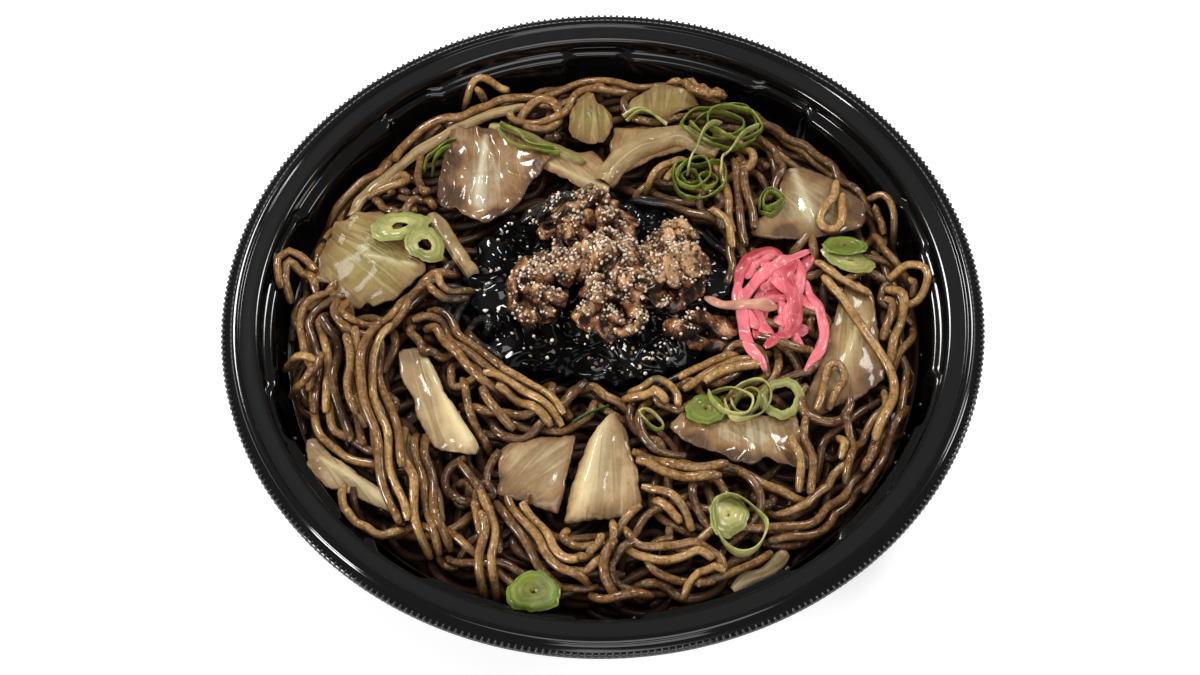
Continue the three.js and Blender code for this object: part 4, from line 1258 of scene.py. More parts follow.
def make_pork():
    """Six slices with their folds, folds that close the gaps between them, and a few pale ones on top."""
    material = pork_brown()
    for number, node in enumerate(PORK_NODES, 1):
        make_slice(node, number, material)
        make_folds(node, number, material)
    make_filling_folds(material)
    for number, route in enumerate(PALE_FOLDS):
        pork_fold(f"pork_pale_fold_{number + 1}", route, 5.0, material, "pork_4", 0.9, 640 + number, 1.0,
                  thick=1.0, soak=1.0)


def make_slice(node, number, material):
    """One slice of pork over the whole of its solid's plan."""
    middle, half = box_of(node)
    outline = frayed(oval(middle, half * 0.98, 3 + number % 3, 40 + number), 50 + number, 0.8, 0.8)
    fold, small = Waves(80 + number, 6.5, 6), Waves(90 + number, 2.6)

    def ridges(x, y):
        return np.clip(1 - np.abs(fold(x, y)) * 1.5, 0, 1) ** 1.3

    def dull(x, y):
        return DARK_PORK.get(node, 0.0) + 0 * x

    def thick(x, y, way):
        return 0.9 + 0.8 * np.sqrt(1 - way**2) + 0.6 * ridges(x, y) + 0.3 * small(x, y) * (1 - way)

    # The ridges go to the material as fold, which paints them lighter than the hollows: painted light and
    # shade
    piece = patch(f"{node}_slice", outline, material, thick, rings=22, passes=20, press=0.5,
                  marks={"fold": ridges, "soak": dull})
    serve(piece, "pork", node)


def make_folds(node, number, material):
    """Curled folds that lie every way on one slice, kept within it."""
    rng = np.random.default_rng(400 + number)
    middle, half = box_of(node)
    dark = DARK_PORK.get(node, 0.0)
    for curl in range(2 if dark else 7):
        ahead = heading_of(rng)
        start = middle + rng.uniform(-0.6, 0.6, 2) * half
        reach = rng.uniform(0.45, 0.8) * half.max()
        bow = rng.normal() * reach * 0.45
        route = [start - ahead * reach, start + left_of(ahead) * bow, start + ahead * reach]
        away = (np.array(route) - middle) / half
        route = middle + away / np.maximum(1, np.hypot(*away.T))[:, None] * half
        width, arch = rng.uniform(3.4, 6.4), rng.uniform(0.4, 1.2)
        pork_fold(f"{node}_fold_{curl + 1}", route, width, material, node, arch, 500 + number * 9 + curl, 1.5,
                  soak=dark)


def make_filling_folds(material):
    """Smaller curled slices that close the gaps between the first five of the large ones."""
    rng = np.random.default_rng(77)
    spots = np.array([box_of(node)[0] for node in PORK_NODES])
    for fold in range(14):
        first, second = rng.choice(5, 2, replace=False)
        start = lerp(spots[first], spots[second], rng.uniform(0.3, 0.7)) + rng.normal(size=2) * 1.5
        ahead = heading_of(rng) * rng.uniform(3.5, 6.5)
        aside = left_of(ahead) * rng.uniform(-0.5, 0.5)
        node = PORK_NODES[int(np.linalg.norm(spots - start, axis=1).argmin())]
        route = [start - ahead, start + aside, start + ahead]
        width, arch = rng.uniform(3.5, 6), rng.uniform(0.3, 1.2)
        pork_fold(f"pork_filling_{fold + 1}", route, width, material, node, arch, 600 + fold, 1.4)


def pork_fold(name, route, width, material, node, arch, seed, waves, thick=0.9, soak=0.0):
    strip = ribbon(name, route, width, material, thick, arch, seed, 0.5, waves, passes=5, soak=soak)
    serve(strip, "pork", node)


def heading_of(rng):
    """A flat unit vector in a random direction."""
    heading = rng.uniform(0, np.pi)
    return np.array([math.cos(heading), math.sin(heading)])


def left_of(ahead):
    return np.array([-ahead[1], ahead[0]])


def make_seasoning(settings):
    """Sesame and coarse pepper, thick on the pork and thinner over the front and right of the sauce, and
    drops of sauce splashed up the bowl's wall."""
    rng = np.random.default_rng(settings.seed)
    ground = serving.ground
    clumps = Waves(101, 7)
    pork_from = heap_top(0) + 3.4  # whatever stands higher is pork
    sown_at, sown_over = np.array([13, -13]), np.array([7, 5])  # the grains that lie beside the pork
    places = []
    while len(places) < settings.grains:
        place = SAUCE_MIDDLE + rng.normal(size=2) * SAUCE_HALF * 0.5
        reach = math.hypot(*((place - SAUCE_MIDDLE) / SAUCE_HALF))
        top = ground.at(place)
        beside = math.exp(-(((place - sown_at) / sown_over) ** 2).sum())
        likely = 0.85 if top > pork_from else 0.05 + 0.7 * beside
        if reach < 0.96 and rng.random() < likely * (0.6 + 0.5 * clumps(*place)):
            places.append((*place, top + 0.15))
    group = scattering()
    scatter("seasoning_grains", group, places, rng, (0.55, 1.2), "pork", Material=seasoning_cream(),
            Grain=settings.grain_size / 2, Seed=settings.seed)
    drops = 26
    angles, spots = rng.uniform(0, 2 * np.pi, drops), rng.uniform(HEAP_RADIUS, RIM_RADIUS - 12, drops)
    places = np.column_stack([spots * np.cos(angles), spots * np.sin(angles), bowl_inside(spots) + 0.1])
    scatter("sauce_drops", group, places, rng, (0.4, 1.3), "sauce", Material=sauce_film(), Grain=0.7 * MM,
            Seed=settings.seed + 1)


def scatter(name, group, places, rng, sizes, slot, **values):
    """One piece of many grains, one at each place."""
    piece = piece_of(name, places, [], None)
    store(piece, tone=rng.random(len(places)), size=rng.uniform(*sizes, len(places)))
    Tree.apply(group, piece, **values)
    serve(piece, slot)


def scattering():
    """A tree that puts a small rough ball at every point, each turned its own way."""
    tree = Tree("scattered_grains", Material="Material", Grain="Float", Seed="Int")
    grain = tree.node("GeometryNodeMeshIcoSphere", Radius=tree.input("Grain"), Subdivisions=1)
    spin = tree.node("FunctionNodeRandomValue", {"data_type": "FLOAT_VECTOR"}, Max=(6.3, 6.3, 6.3),
                     Seed=tree.input("Seed"))
    size = tree.node("ShaderNodeCombineXYZ", X=tree.attribute("size"), Y=tree.attribute("size"), Z=0.75)
    grains = tree.node("GeometryNodeInstanceOnPoints", Points=tree.input("Geometry"), Instance=grain,
                       Rotation=spin, Scale=size)
    return tree.end(grains)


# ---------------------------------------------------------------- cabbage
# A leaf's look, the point that its pleats and veins fan out from, how far its rim lifts, its rib (both
# ends, half width and height), its pleats (pitch and depth), its soaked spots (middle and reach) and its
# outline. Its name is its node's, unless it gives another.
LEAVES = {
    "fan": dict(
        node="cabbage_shred_6", kind="tan", base=(-30, 75), lift=0.8, rib=((-20, 53), (2, 40), 0.9, 0.5),
        outline=[(-22, 52), (-11, 55), (-1, 53), (4, 46), (3, 38), (-4, 41), (-12, 46)]),
    "curled_bit": dict(
        node="cabbage_shred_6", kind="green", base=(-2, 100), lift=1.6, pleats=(6.0, 0.7),
        outline=[(-8, 66), (-5, 72), (-2, 76), (0, 70), (4, 66), (4, 61), (0, 55), (-8, 58)]),
    "front_left": dict(
        node="cabbage_shred_4", kind="strip", base=(-90, -20), lift=0.8,
        rib=((-73, -40), (-55, -54), 1.3, 0.7), spots=[(-75, -42, 2)],
        outline=[(-77.5, -33), (-75, -32), (-72.5, -36), (-69.5, -40), (-65.5, -42.5), (-61, -46.5),
                 (-56, -50.5), (-53, -53.5), (-53.5, -56), (-58, -54.5), (-63.5, -51), (-68, -49),
                 (-72.5, -47), (-76, -43)]),
    "panel": dict(
        node="cabbage_shred_2", kind="tan", base=(0, 20), lift=0.9,
        outline=[(4, 62), (12, 62), (20, 62), (27, 60), (25, 54), (14, 50), (6, 45), (3, 52)]),
    "cabbage_leaf_1": dict(
        kind="green", base=(-95, 50), lift=0.7, rib=((-63, 21), (-50, 17), 0.9, 0.5),
        outline=[(-71.5, 33), (-65, 37), (-55.5, 34), (-49, 22), (-46.5, 15), (-51, 11), (-55.5, 5.5),
                 (-60.5, 4), (-62.5, 6.5), (-64, 4), (-68, 6), (-72, 12.5), (-77, 14.5), (-75.5, 22.5)]),
    "cabbage_leaf_2": dict(
        kind="clear", base=(-34, 130), lift=1.0, rib=((-31, 60), (-33, 36), 1.2, 0.7), pleats=(6.5, 0.8),
        spots=[(-43, 52, 5), (-41, 39, 4), (-28, 31, 3), (-17, 50, 3)],
        outline=[(-40, 64), (-29, 63), (-18, 59), (-13, 51), (-19, 42), (-24, 33), (-30, 29), (-37, 33),
                 (-44, 36), (-44, 45), (-42, 57)]),
    "cabbage_leaf_3": dict(
        kind="green", base=(15, 40), lift=1.2,
        outline=[(6, 67), (10, 73), (18, 79), (24, 77), (29, 71), (18, 65)]),
    "cabbage_leaf_4": dict(
        kind="cream", base=(30, 60), lift=1.0, rib=((53, 47), (57, 30), 1.6, 0.8),
        spots=[(50, 25, 3), (62, 25, 3), (71, 33, 3.5), (66, 41, 2.5)],
        outline=[(51, 48), (55, 48.5), (65, 42.5), (72, 35), (71.5, 28), (62, 24), (54, 23), (46, 22.5),
                 (40, 25), (43, 30), (47, 33), (49, 40)]),
    "cabbage_leaf_5": dict(
        kind="tan", base=(75, 60), lift=0.8, rib=((68, -3), (62, -20), 1.4, 0.7),
        spots=[(56, -29, 4), (70, -21, 3), (58, -12, 2.5)],
        outline=[(64, 8), (68, 10), (72, 6), (72.5, -7), (73, -20.5), (68, -25), (60, -29), (54, -33),
                 (50, -32), (51, -27), (54.5, -21), (58, -11.5), (61, -2.5)]),
    "cabbage_leaf_6": dict(
        kind="cream", base=(34, 0), lift=0.7, pleats=(8.0, 0.55),
        spots=[(33, -45, 4), (49, -44, 4), (23, -40, 3)],
        outline=[(16, -34), (20, -31), (34, -30), (40, -33), (49, -31), (52.5, -43), (52, -48), (44, -46),
                 (41, -43.5), (37, -46.5), (29, -43.5), (21, -40.5)]),
    "cabbage_leaf_7": dict(
        kind="cream", base=(-38, -66), lift=0.5,
        outline=[(-27, -41), (-24, -38), (-15, -37), (-7, -36), (-10, -50), (-12, -59), (-20, -56),
                 (-28, -53)]),
    "cabbage_leaf_8": dict(
        kind="stem", base=(2, -15), lift=0.5, rib=((0, -31), (-7, -62), 3.0, 2.3),
        outline=[(2, -30), (5, -34), (7, -43), (9, -54), (9, -59), (-1, -61), (-11, -62), (-9, -53),
                 (-6, -42), (-2, -34)]),
    "cabbage_leaf_9": dict(
        kind="strip", base=(-60, 25), lift=0.9, rib=((-46, -14), (-35, -38), 2.0, 1.2),
        spots=[(-50, -12, 2.0)],
        outline=[(-53.5, -10), (-49, -8), (-46.5, -10.5), (-43, -18), (-39, -27), (-32, -39), (-32.5, -42),
                 (-40, -41), (-44, -39), (-46.5, -34), (-50, -24), (-53, -17)]),
}

# A strip's look, width, thickness, how far its middle bows up, and its route
SHREDS = {
    "cabbage_shred_1": dict(
        kind="tan", width=3.8, thick=0.9, arch=0.6,
        route=[(-68, 36), (-65, 43), (-58, 50), (-50, 58), (-41, 64), (-31, 70), (-20, 73)]),
    "cabbage_shred_2": dict(
        kind="tan", width=8.0, thick=0.9, arch=1.6,
        route=[(1, 42), (6, 50), (14, 56), (24, 58), (33, 53)]),
    "cabbage_shred_3": dict(
        kind="tan", width=4.6, thick=1.4, arch=0.7,
        route=[(-46, 35), (-42, 28), (-38, 21), (-34, 13)]),
    "cabbage_shred_5": dict(
        kind="tan", width=4.0, thick=0.8, arch=0.8,
        route=[(-53, -32), (-49, -40), (-45, -48), (-42, -59)]),
    "cabbage_shred_6": dict(
        kind="green", width=3.4, thick=0.8, arch=0.7,
        route=[(-30, 64), (-21, 60), (-13, 55), (-4, 49)]),
    "cabbage_shred_7": dict(
        kind="stem", width=3.4, thick=0.7, arch=0.9,
        route=[(31, -78), (35, -75), (40, -73), (45, -68)]),
}


def leaf_materials():
    """Six looks of cooked cabbage, each with its pale and deep colour, its ribs, its stain and its gloss."""
    looks = {
        "green": ((0.255, 0.215, 0.07), (0.145, 0.12, 0.026), (0.42, 0.36, 0.19), 0.6, 0.12),
        "clear": ((0.38, 0.32, 0.21), (0.19, 0.12, 0.05), (0.50, 0.44, 0.31), 0.9, 0.6),
        "cream": ((0.38, 0.31, 0.165), (0.22, 0.155, 0.068), (0.50, 0.43, 0.26), 0.8, 0.6),
        "tan": ((0.37, 0.262, 0.122), (0.21, 0.135, 0.052), (0.46, 0.36, 0.18), 0.7),
        "strip": ((0.49, 0.36, 0.195), (0.34, 0.23, 0.105), (0.60, 0.49, 0.27), 0.35),
        "stem": ((0.45, 0.34, 0.18), (0.30, 0.21, 0.09), (0.60, 0.49, 0.27), 0.7),
    }
    return {kind: leaf_paint(f"cabbage_{kind}", *look) for kind, look in looks.items()}


LEAF_SLOTS = {"green": "cabbage_green", "stem": "cabbage_stem"}


def rib_rule(rib):
    """How much of a leaf's thick rib there is at a place, from 0 to 1."""
    if not rib:
        return lambda x, y: 0 * x
    (x0, y0), (x1, y1), half, _ = rib
    run = np.array([x1 - x0, y1 - y0], float)

    def rule(x, y):
        t = np.clip(((x - x0) * run[0] + (y - y0) * run[1]) / (run @ run), 0, 1)
        away = np.hypot(x - x0 - t * run[0], y - y0 - t * run[1])
        return np.exp(-((away / (half * (0.75 + 0.5 * t))) ** 2))

    return rule


def make_leaf(name, number, facts, material, leaf):
    """One cooked leaf: pleats that fan out from its base, a curled rim, a rib and soaked spots."""
    outline = frayed(facts["outline"], 200 + number, 0.4, 0.7, crisp=True)
    wide, narrow = Waves(210 + number, 15, 6), Waves(220 + number, 5)
    rib = facts.get("rib")
    ribbed = rib_rule(rib)
    tall = rib[3] if rib else 0.0
    base = facts["base"]
    pitch, deep = facts.get("pleats", (1.0, 0.0))
    spots = facts.get("spots", ())

    def soaked(x, y):
        return sum(np.exp(-((x - a) ** 2 + (y - b) ** 2) / r**2) for a, b, r in spots) + 0 * x

    def lift(x, y, way):
        across = np.arctan2(x - base[0], base[1] - y) * 38 + 3 * wide(x, y)
        pleat = deep * 2 * (1 - np.abs(np.sin(across * np.pi / pitch))) * (0.3 + 0.7 * way)
        curl = facts["lift"] * way**3 * (0.5 + 0.7 * wide(x * 1.3, y * 1.3))
        swell = np.clip(0.3 + 0.35 * wide(x, y), 0, None) + 0.04 * narrow(x, y)
        return swell + np.clip(curl, 0, None) + pleat

    def thick(x, y, way):
        return leaf * (1 - 0.35 * way) + tall * ribbed(x, y)

    piece = patch(f"{name}_cooked", outline, material, thick, rings=30, passes=150, lift=lift, hang=1.6,
                  sag=0.003, marks={"rib": ribbed, "soak": soaked}, veins_from=base)
    serve(piece, LEAF_SLOTS.get(facts["kind"], "cabbage"), facts.get("node", name))
    serving.reserve(outline, 2.2)


def make_cabbage(settings):
    paints = leaf_materials()
    for number, (name, facts) in enumerate(LEAVES.items()):
        make_leaf(name, number, facts, paints[facts["kind"]], settings.leaf_thickness / MM)
    for number, (node, facts) in enumerate(SHREDS.items()):
        piece = ribbon(f"{node}_strip", facts["route"], facts["width"], paints[facts["kind"]], facts["thick"],
                       facts["arch"], 240 + number)
        serve(piece, LEAF_SLOTS.get(facts["kind"], "cabbage"), node)


# ---------------------------------------------------------------- spring onion
# A slice's middle, its two radii, its hole as a share of them, its thickness, its turn in degrees and look
SLICES = {
    "onion_ring_1": dict(at=(-54, 29), rx=7.8, ry=5.4, hole=0.26, tall=1.3, turn=8, look="pale"),
    "onion_ring_2": dict(at=(-47, 22), rx=5.0, ry=4.8, hole=0.34, tall=1.4, turn=0, look="pale"),
    "onion_ring_6": dict(at=(66, 15), rx=7.2, ry=4.3, hole=0.05, tall=1.4, turn=-6, look="pale"),
    "onion_ring_7": dict(at=(65, 19), rx=6.4, ry=3.6, hole=0.05, tall=1.2, turn=12, look="green"),
    "onion_ring_8": dict(at=(26, -31), rx=5.4, ry=4.2, hole=0.05, tall=1.2, turn=0, look="green"),
    "onion_ring_10": dict(at=(45.5, -28), rx=6.0, ry=5.8, hole=0.6, tall=1.6, turn=0, look="pale"),
    "onion_ring_12": dict(at=(30.5, -61), rx=4.8, ry=6.6, hole=0.05, tall=1.6, turn=0, look="pale"),
    "onion_ring_13": dict(at=(-18.5, -81), rx=6.4, ry=5.4, hole=0.05, tall=2.2, turn=0, look="green"),
}

# Closed loops: their look, how tall they stand, and their routes
LOOPS = {
    "onion_ring_3": dict(look="green", tall=2.2, routes=[
        [(23, 62), (30, 69), (41, 69), (44, 61), (41, 55), (32, 54), (25, 57)],
        [(26, 63), (34, 67), (40, 64), (39, 59), (31, 56), (26, 59)],
        [(31, 65), (37, 68), (43, 65), (45, 59), (38, 55), (31, 60)]]),
    "onion_ring_4": dict(look="green", tall=2.0, routes=[
        [(20, 44), (23, 48), (33, 47), (34, 40), (28, 36), (22, 38)],
        [(22, 44), (25, 46), (27, 43), (24, 40)],
        [(27, 42), (30, 44), (32, 41), (29, 38)],
        [(21, 41), (24, 47), (29, 48), (30, 42), (26, 37)]]),
    "onion_ring_5": dict(look="green", tall=2.2, routes=[[(43, 34), (46, 39), (50, 35), (46, 30)],
                                                         [(44, 33), (46, 37), (49, 34), (46, 31)]]),
    "onion_ring_9": dict(look="pale", tall=2.2, routes=[
        [(31, -28), (35, -23), (40, -22), (43, -27), (40, -33), (33, -34)],
        [(33, -28), (37, -25), (40, -28), (38, -32), (34, -32)],
        [(27, -26), (33, -25), (38, -29), (36, -34), (30, -33)]]),
    "onion_ring_11": dict(look="pale", tall=1.5, routes=[
        [(9, -31), (12, -30), (15, -33), (14, -35), (11, -34)]]),
    "onion_ring_12": dict(look="pale", tall=2.6, routes=[
        [(27, -59), (31, -56), (36, -58), (40, -63), (38, -68), (33, -70), (28, -67)]]),
}

# Open curls and slivers
CURLS = {
    "onion_sliver_1": dict(look="green", routes=[[(-28, 61), (-24, 56), (-19, 53), (-11, 52)],
                                                 [(-27, 62), (-22, 59), (-19, 55), (-12, 53)]]),
    "onion_sliver_2": dict(look="green", routes=[[(-48, 50), (-47, 55), (-43, 57), (-39, 58)],
                                                 [(-46, 51), (-45, 54), (-41, 55)]]),
    "onion_sliver_3": dict(look="pale", routes=[[(7, 65), (12, 67), (18, 63)],
                                                [(8, 63), (13, 65), (19, 61)]]),
    "onion_ring_3": dict(look="pale", routes=[[(34, 64), (29, 57), (26, 50), (24, 44)],
                                              [(44, 59), (38, 54), (34, 49), (33, 42)]]),
    "onion_sliver_4": dict(look="dark", routes=[[(-8, -32), (-4, -30), (1, -27)]]),
}


def onion_materials():
    return {
        "green": onion_paint("onion_green", (0.09, 0.145, 0.010), (0.22, 0.225, 0.034), (0.32, 0.305, 0.065),
                             heart=0.6),
        "pale": onion_paint("onion_pale", (0.20, 0.205, 0.045), (0.44, 0.40, 0.145), (0.55, 0.50, 0.23),
                            banding=0.25),
        "dark": onion_paint("onion_dark", (0.02, 0.075, 0.018), (0.03, 0.10, 0.02)),
    }


ONION_SLOTS = {"green": "onion", "pale": "onion_pale", "dark": "onion_dark"}


def onion_slice(node, facts, material, seed):
    """A slice across a spring onion: nested rings round a hole, tilted as it lies."""
    turns, rows, steepest = 56, 14, 0.35
    angle = ring_of(turns)
    wobble = 1 + 0.06 * np.sin(2 * angle + seed) + 0.05 * np.sin(3 * angle + 2 * seed)
    wobble += 0.03 * np.sin(7 * angle)
    wobble += 0.02 * np.sin(11 * angle + seed) + 0.015 * np.sin(17 * angle + 3 * seed)
    c, s = math.cos(math.radians(facts["turn"])), math.sin(math.radians(facts["turn"]))
    flat = np.column_stack([facts["rx"] * wobble * np.cos(angle), facts["ry"] * wobble * np.sin(angle)])
    flat = flat @ np.array([[c, s], [-s, c]])
    middle = np.array(facts["at"])
    rim = flat + middle
    need = serving.ground.clearance(np.vstack([rim, rim * 0.5 + middle * 0.5]), 0.9) - 0.9
    under = np.column_stack([np.vstack([flat, flat * 0.5]), np.ones(2 * turns)])
    plane = np.linalg.lstsq(under, need, rcond=None)[0]
    plane[:2] = np.clip(plane[:2], -steepest, steepest)
    plane[2] += np.percentile(need - under @ plane, 85)
    across = np.linspace(facts["hole"], 1, rows)
    round_off = np.sqrt(np.clip(1 - (2 * (across - facts["hole"]) / (1 - facts["hole"]) - 1) ** 8, 0, 1))
    ridged = 0.5 + 0.5 * np.cos(across * 2 * np.pi * 3.5)
    top = facts["tall"] * (0.35 + 0.5 * round_off) + 0.16 * ridged * round_off
    bottom = facts["tall"] * 0.35 * (1 - round_off)
    share = np.concatenate([across, across[::-1]])
    height = np.concatenate([top, bottom[::-1]])
    xy = flat[None] * share[:, None, None]
    sway = 0.35 * np.sin(2 * angle + seed * 3)[None] * share[:, None]
    z = xy @ plane[:2] + plane[2] + height[:, None] + sway
    faces = ring_faces(2 * rows, turns)
    last = (2 * rows - 1) * turns
    for k in range(turns):
        n = (k + 1) % turns
        faces.append((last + k, k, n, last + n))
    piece = piece_of(f"{node}_slice", np.dstack([xy + middle, z]).reshape(-1, 3), faces, material)
    store(piece, across=np.repeat(share, turns))
    cover_with(anticlockwise(rim), xy[:rows] + middle, z[:rows])
    serving.reserve(rim, 0.5)
    return piece


def onion_bands(name, routes, material, tall, group, closed, seed):
    """Thin bands of onion set on edge along their routes."""
    half = 0.9
    strands = []
    for number, route in enumerate(routes):
        line = spline(route, 0.9, closed)
        count = np.arange(len(line))
        height = serving.rest(line, half, settle=25) - half + tall * 0.42 + 0.4 * number
        height += 0.5 * np.sin(count * 0.35 + seed + number)
        serving.ground.cover(line, height, tall * 0.45)
        shade = 0.55 + 0.45 * np.sin(count * 0.21 + seed + 2 * number)
        strands.append({
            "points": np.column_stack([line, height]),
            "girth": 1 + 0.1 * np.sin(count * 0.5 + seed),
            "tilt": 0.35 * np.sin(count * 0.3 + seed + number),
            "across": np.clip(shade, 0, 1),
        })
    piece = lines_of(name, strands, material, closed)
    Tree.apply(group, piece, Material=material, Width=0.65 * MM, Thickness=tall * MM)
    return piece


def make_onion():
    """Slices that lie flat, closed loops and open curls."""
    paints = onion_materials()
    group = bar_tree("onion_band", upright=True)
    for seed, (node, facts) in enumerate(SLICES.items(), 1):
        look = facts["look"]
        serve(onion_slice(node, facts, paints[look], seed), ONION_SLOTS[look], node)
    for kind, table, first_seed in (("loops", LOOPS, 0), ("curls", CURLS, 9)):
        for seed, (node, facts) in enumerate(table.items(), first_seed):
            look, tall = facts["look"], facts.get("tall", 1.8)
            piece = onion_bands(f"{node}_{kind}", facts["routes"], paints[look], tall, group, kind == "loops",
                                seed)
            serve(piece, ONION_SLOTS[look], node)


# ---------------------------------------------------------------- pickled ginger
# Routes of the shreds, from the bottom of the tuft up
GINGER = [
    [(44, 18), (43, 12), (42, 6), (40, 1)],
    [(38, 10), (42, 15), (47, 17)],
    [(50, 10), (54, 14), (56, 18)],
    [(47, 12), (52, 8), (56, 3), (57, -3)],
    [(41, 10), (46, 4), (48, -3), (46, -9)],
    [(53, 12), (48, 8), (44, 3), (41, -4), (40, -9)],
    [(36, 4), (40, -1), (42, -5), (44, -9)],
    [(39, 2), (43, 2), (47, 3), (51, 6)],
    [(49, 16), (47, 10), (43, 6)],
    [(42, 14), (46, 12), (48, 7)],
    [(36, 7), (37, 12), (41, 17), (46, 18), (49, 15)],
    [(58, -2), (58, -8), (56, -13)],
    [(36, 9), (36, 3), (38, -2), (41, -6)],
    [(45, 9), (50, 5), (54, 2), (58, -2)],
    [(45, -2), (50, -5), (54, -6)],
    [(54, 9), (55, 4), (57, -1), (58, -7), (57, -12), (54, -17), (52, -20)],
    [(52, 17), (53, 12), (52, 6), (49, -1), (50, -7), (52, -12)],
    [(56, 19), (50, 16), (45, 12), (40, 8), (37, 3), (37, -4), (38, -11), (41, -16), (42, -19)],
    [(52, 15), (49, 10), (50, 4), (51, -1), (49, -7), (45, -10), (42, -12)],
    [(27, 4), (33, 2), (39, 0.5), (46, 0)],
]


def make_ginger(settings):
    """A tuft of flat shreds, laid from the bottom up. The last one is stained brown."""
    pink = ginger_paint("ginger_pink", (0.38, 0.020, 0.032), (0.68, 0.132, 0.158), (0.80, 0.26, 0.27))
    stained = ginger_paint("ginger_stained", (0.28, 0.10, 0.055), (0.52, 0.24, 0.16), (0.62, 0.33, 0.24))
    for number, route in enumerate(GINGER, 1):
        material, share = (pink, 0.78 + 0.1 * (number % 4)) if number < len(GINGER) else (stained, 0.9)
        strip = ribbon(f"ginger_shred_{number}", route, settings.ginger_width / MM * share, material, 0.5,
                       0.35 * (number % 3 - 0.5), 300 + number, taper=0.7, waves=0.5, across=10, passes=25)
        serve(strip, "ginger", "ginger")


# ---------------------------------------------------------------- stage
def look_at(place, target, roll=0.0):
    """A turn that points -Z from place to target, +Y up, rolled about the view."""
    ahead = (Vector(target) - Vector(place)).normalized()
    right = ahead.cross(Vector((0, 0, 1))).normalized()
    up = right.cross(ahead)
    turn = Matrix((right, up, -ahead)).transposed()
    return (turn @ Matrix.Rotation(roll, 3, "Z")).to_4x4()


def make_camera(settings):
    """The serving's usual view: from the near side, looking well down into the bowl."""
    camera = bpy.data.cameras.new("camera")
    camera.lens = settings.lens
    camera.sensor_width = 36.0
    camera.clip_start = 0.01
    frame_width, shift_right, shift_up = 1200, 2.2, 29.5
    camera.shift_x = -shift_right / frame_width
    camera.shift_y = -shift_up / frame_width
    rim_middle = Vector((0, 0, RIM_HEIGHT * MM))
    height = settings.view_height
    away = Vector((0, -math.cos(height), math.sin(height))) * settings.distance
    view = bpy.data.objects.new("camera", camera)
    turn = look_at(rim_middle + away, rim_middle, -settings.roll)
    view.matrix_world = Matrix.Translation(rim_middle + away) @ turn
    bpy.context.scene.collection.objects.link(view)
    bpy.context.scene.camera = view


SOFTBOXES = {
    "key_back_left": dict(at=(-0.40, 0.55, 0.80), size=0.22, power=12.0),
    "key_back_right": dict(at=(0.50, 0.50, 0.75), size=0.18, power=6.0),
    "fill_front": dict(at=(0.1, -1.1, 0.7), size=0.7, power=10.5),
    "side_right": dict(at=(0.85, 0.1, 0.35), size=0.2, power=4.5),
    "side_left": dict(at=(-0.8, -0.35, 0.3), size=0.2, power=14.0),
    "top": dict(at=(0.05, -0.1, 1.1), size=0.5, power=6.0),
}


def make_stage(settings):
    """A pale board under softboxes in a bright room, and the camera."""
    half = 3.0 / MM
    corners = [(-half, -half, 0), (half, -half, 0), (half, half, 0), (-half, half, 0)]
    floor = piece_of("floor", corners, [(0, 1, 2, 3)], studio_floor(settings.floor_colour))
    for name, facts in SOFTBOXES.items():
        light = bpy.data.lights.new(name, "AREA")
        light.shape = "SQUARE"
        light.size = facts["size"]
        light.energy = facts["power"] * settings.light
        lamp = bpy.data.objects.new(name, light)
        lamp.matrix_world = Matrix.Translation(facts["at"]) @ look_at(facts["at"], (0, 0, 0.03))
        bpy.context.scene.collection.objects.link(lamp)
    world = bpy.data.worlds.new("studio")
    world.use_nodes = True
    back = world.node_tree.nodes["Background"]
    back.inputs["Color"].default_value = (1, 1, 1, 1)
    back.inputs["Strength"].default_value = settings.sky
    bpy.context.scene.world = world
    bpy.context.scene.view_settings.view_transform = "Standard"
    make_camera(settings)


# ---------------------------------------------------------------- settings
def length_prop(name, tip, default):
    return FloatProperty(name=name, description=tip, default=default, unit="LENGTH", subtype="DISTANCE")


def angle_prop(name, tip, degrees):
    default = math.radians(degrees)
    return FloatProperty(name=name, description=tip, default=default, unit="ROTATION", subtype="ANGLE")


def count_prop(name, tip, default, least=0):
    return IntProperty(name=name, description=tip, default=default, min=least)


class BowlSettings(bpy.types.PropertyGroup):
    facets: count_prop("Facets", "Faces round the bowl", 360, 60)
    pockets: count_prop("Pockets", "Gaps in the stacking shoulder", 10)
    pocket_depth: length_prop("Pocket depth", "Step of a gap in the shoulder", 1.7 * MM)
    knurls: count_prop("Knurls", "Ribs round the outer edge", 366, 12)


class NoodleSettings(bpy.types.PropertyGroup):
    thickness: length_prop("Thickness", "Thickness of a noodle", 2.3 * MM)
    under_length: length_prop("Under length", "Length of the noodles below the toppings", 19.0)
    over_length: length_prop("Over length", "Length of the noodles laid between the toppings", 17.0)
    seed: count_prop("Seed", "Changes how the noodles fall", 11)


class ToppingSettings(bpy.types.PropertyGroup):
    leaf_thickness: length_prop("Leaf thickness", "Thickness of cooked cabbage", 0.9 * MM)
    ginger_width: length_prop("Ginger width", "Width of a ginger shred", 3.4 * MM)
    grains: count_prop("Grains", "Seasoning grains on pork and sauce", 1450)
    grain_size: length_prop("Grain size", "Width of a seasoning grain", 1.05 * MM)
    seed: count_prop("Seed", "Changes where the grains fall", 5)


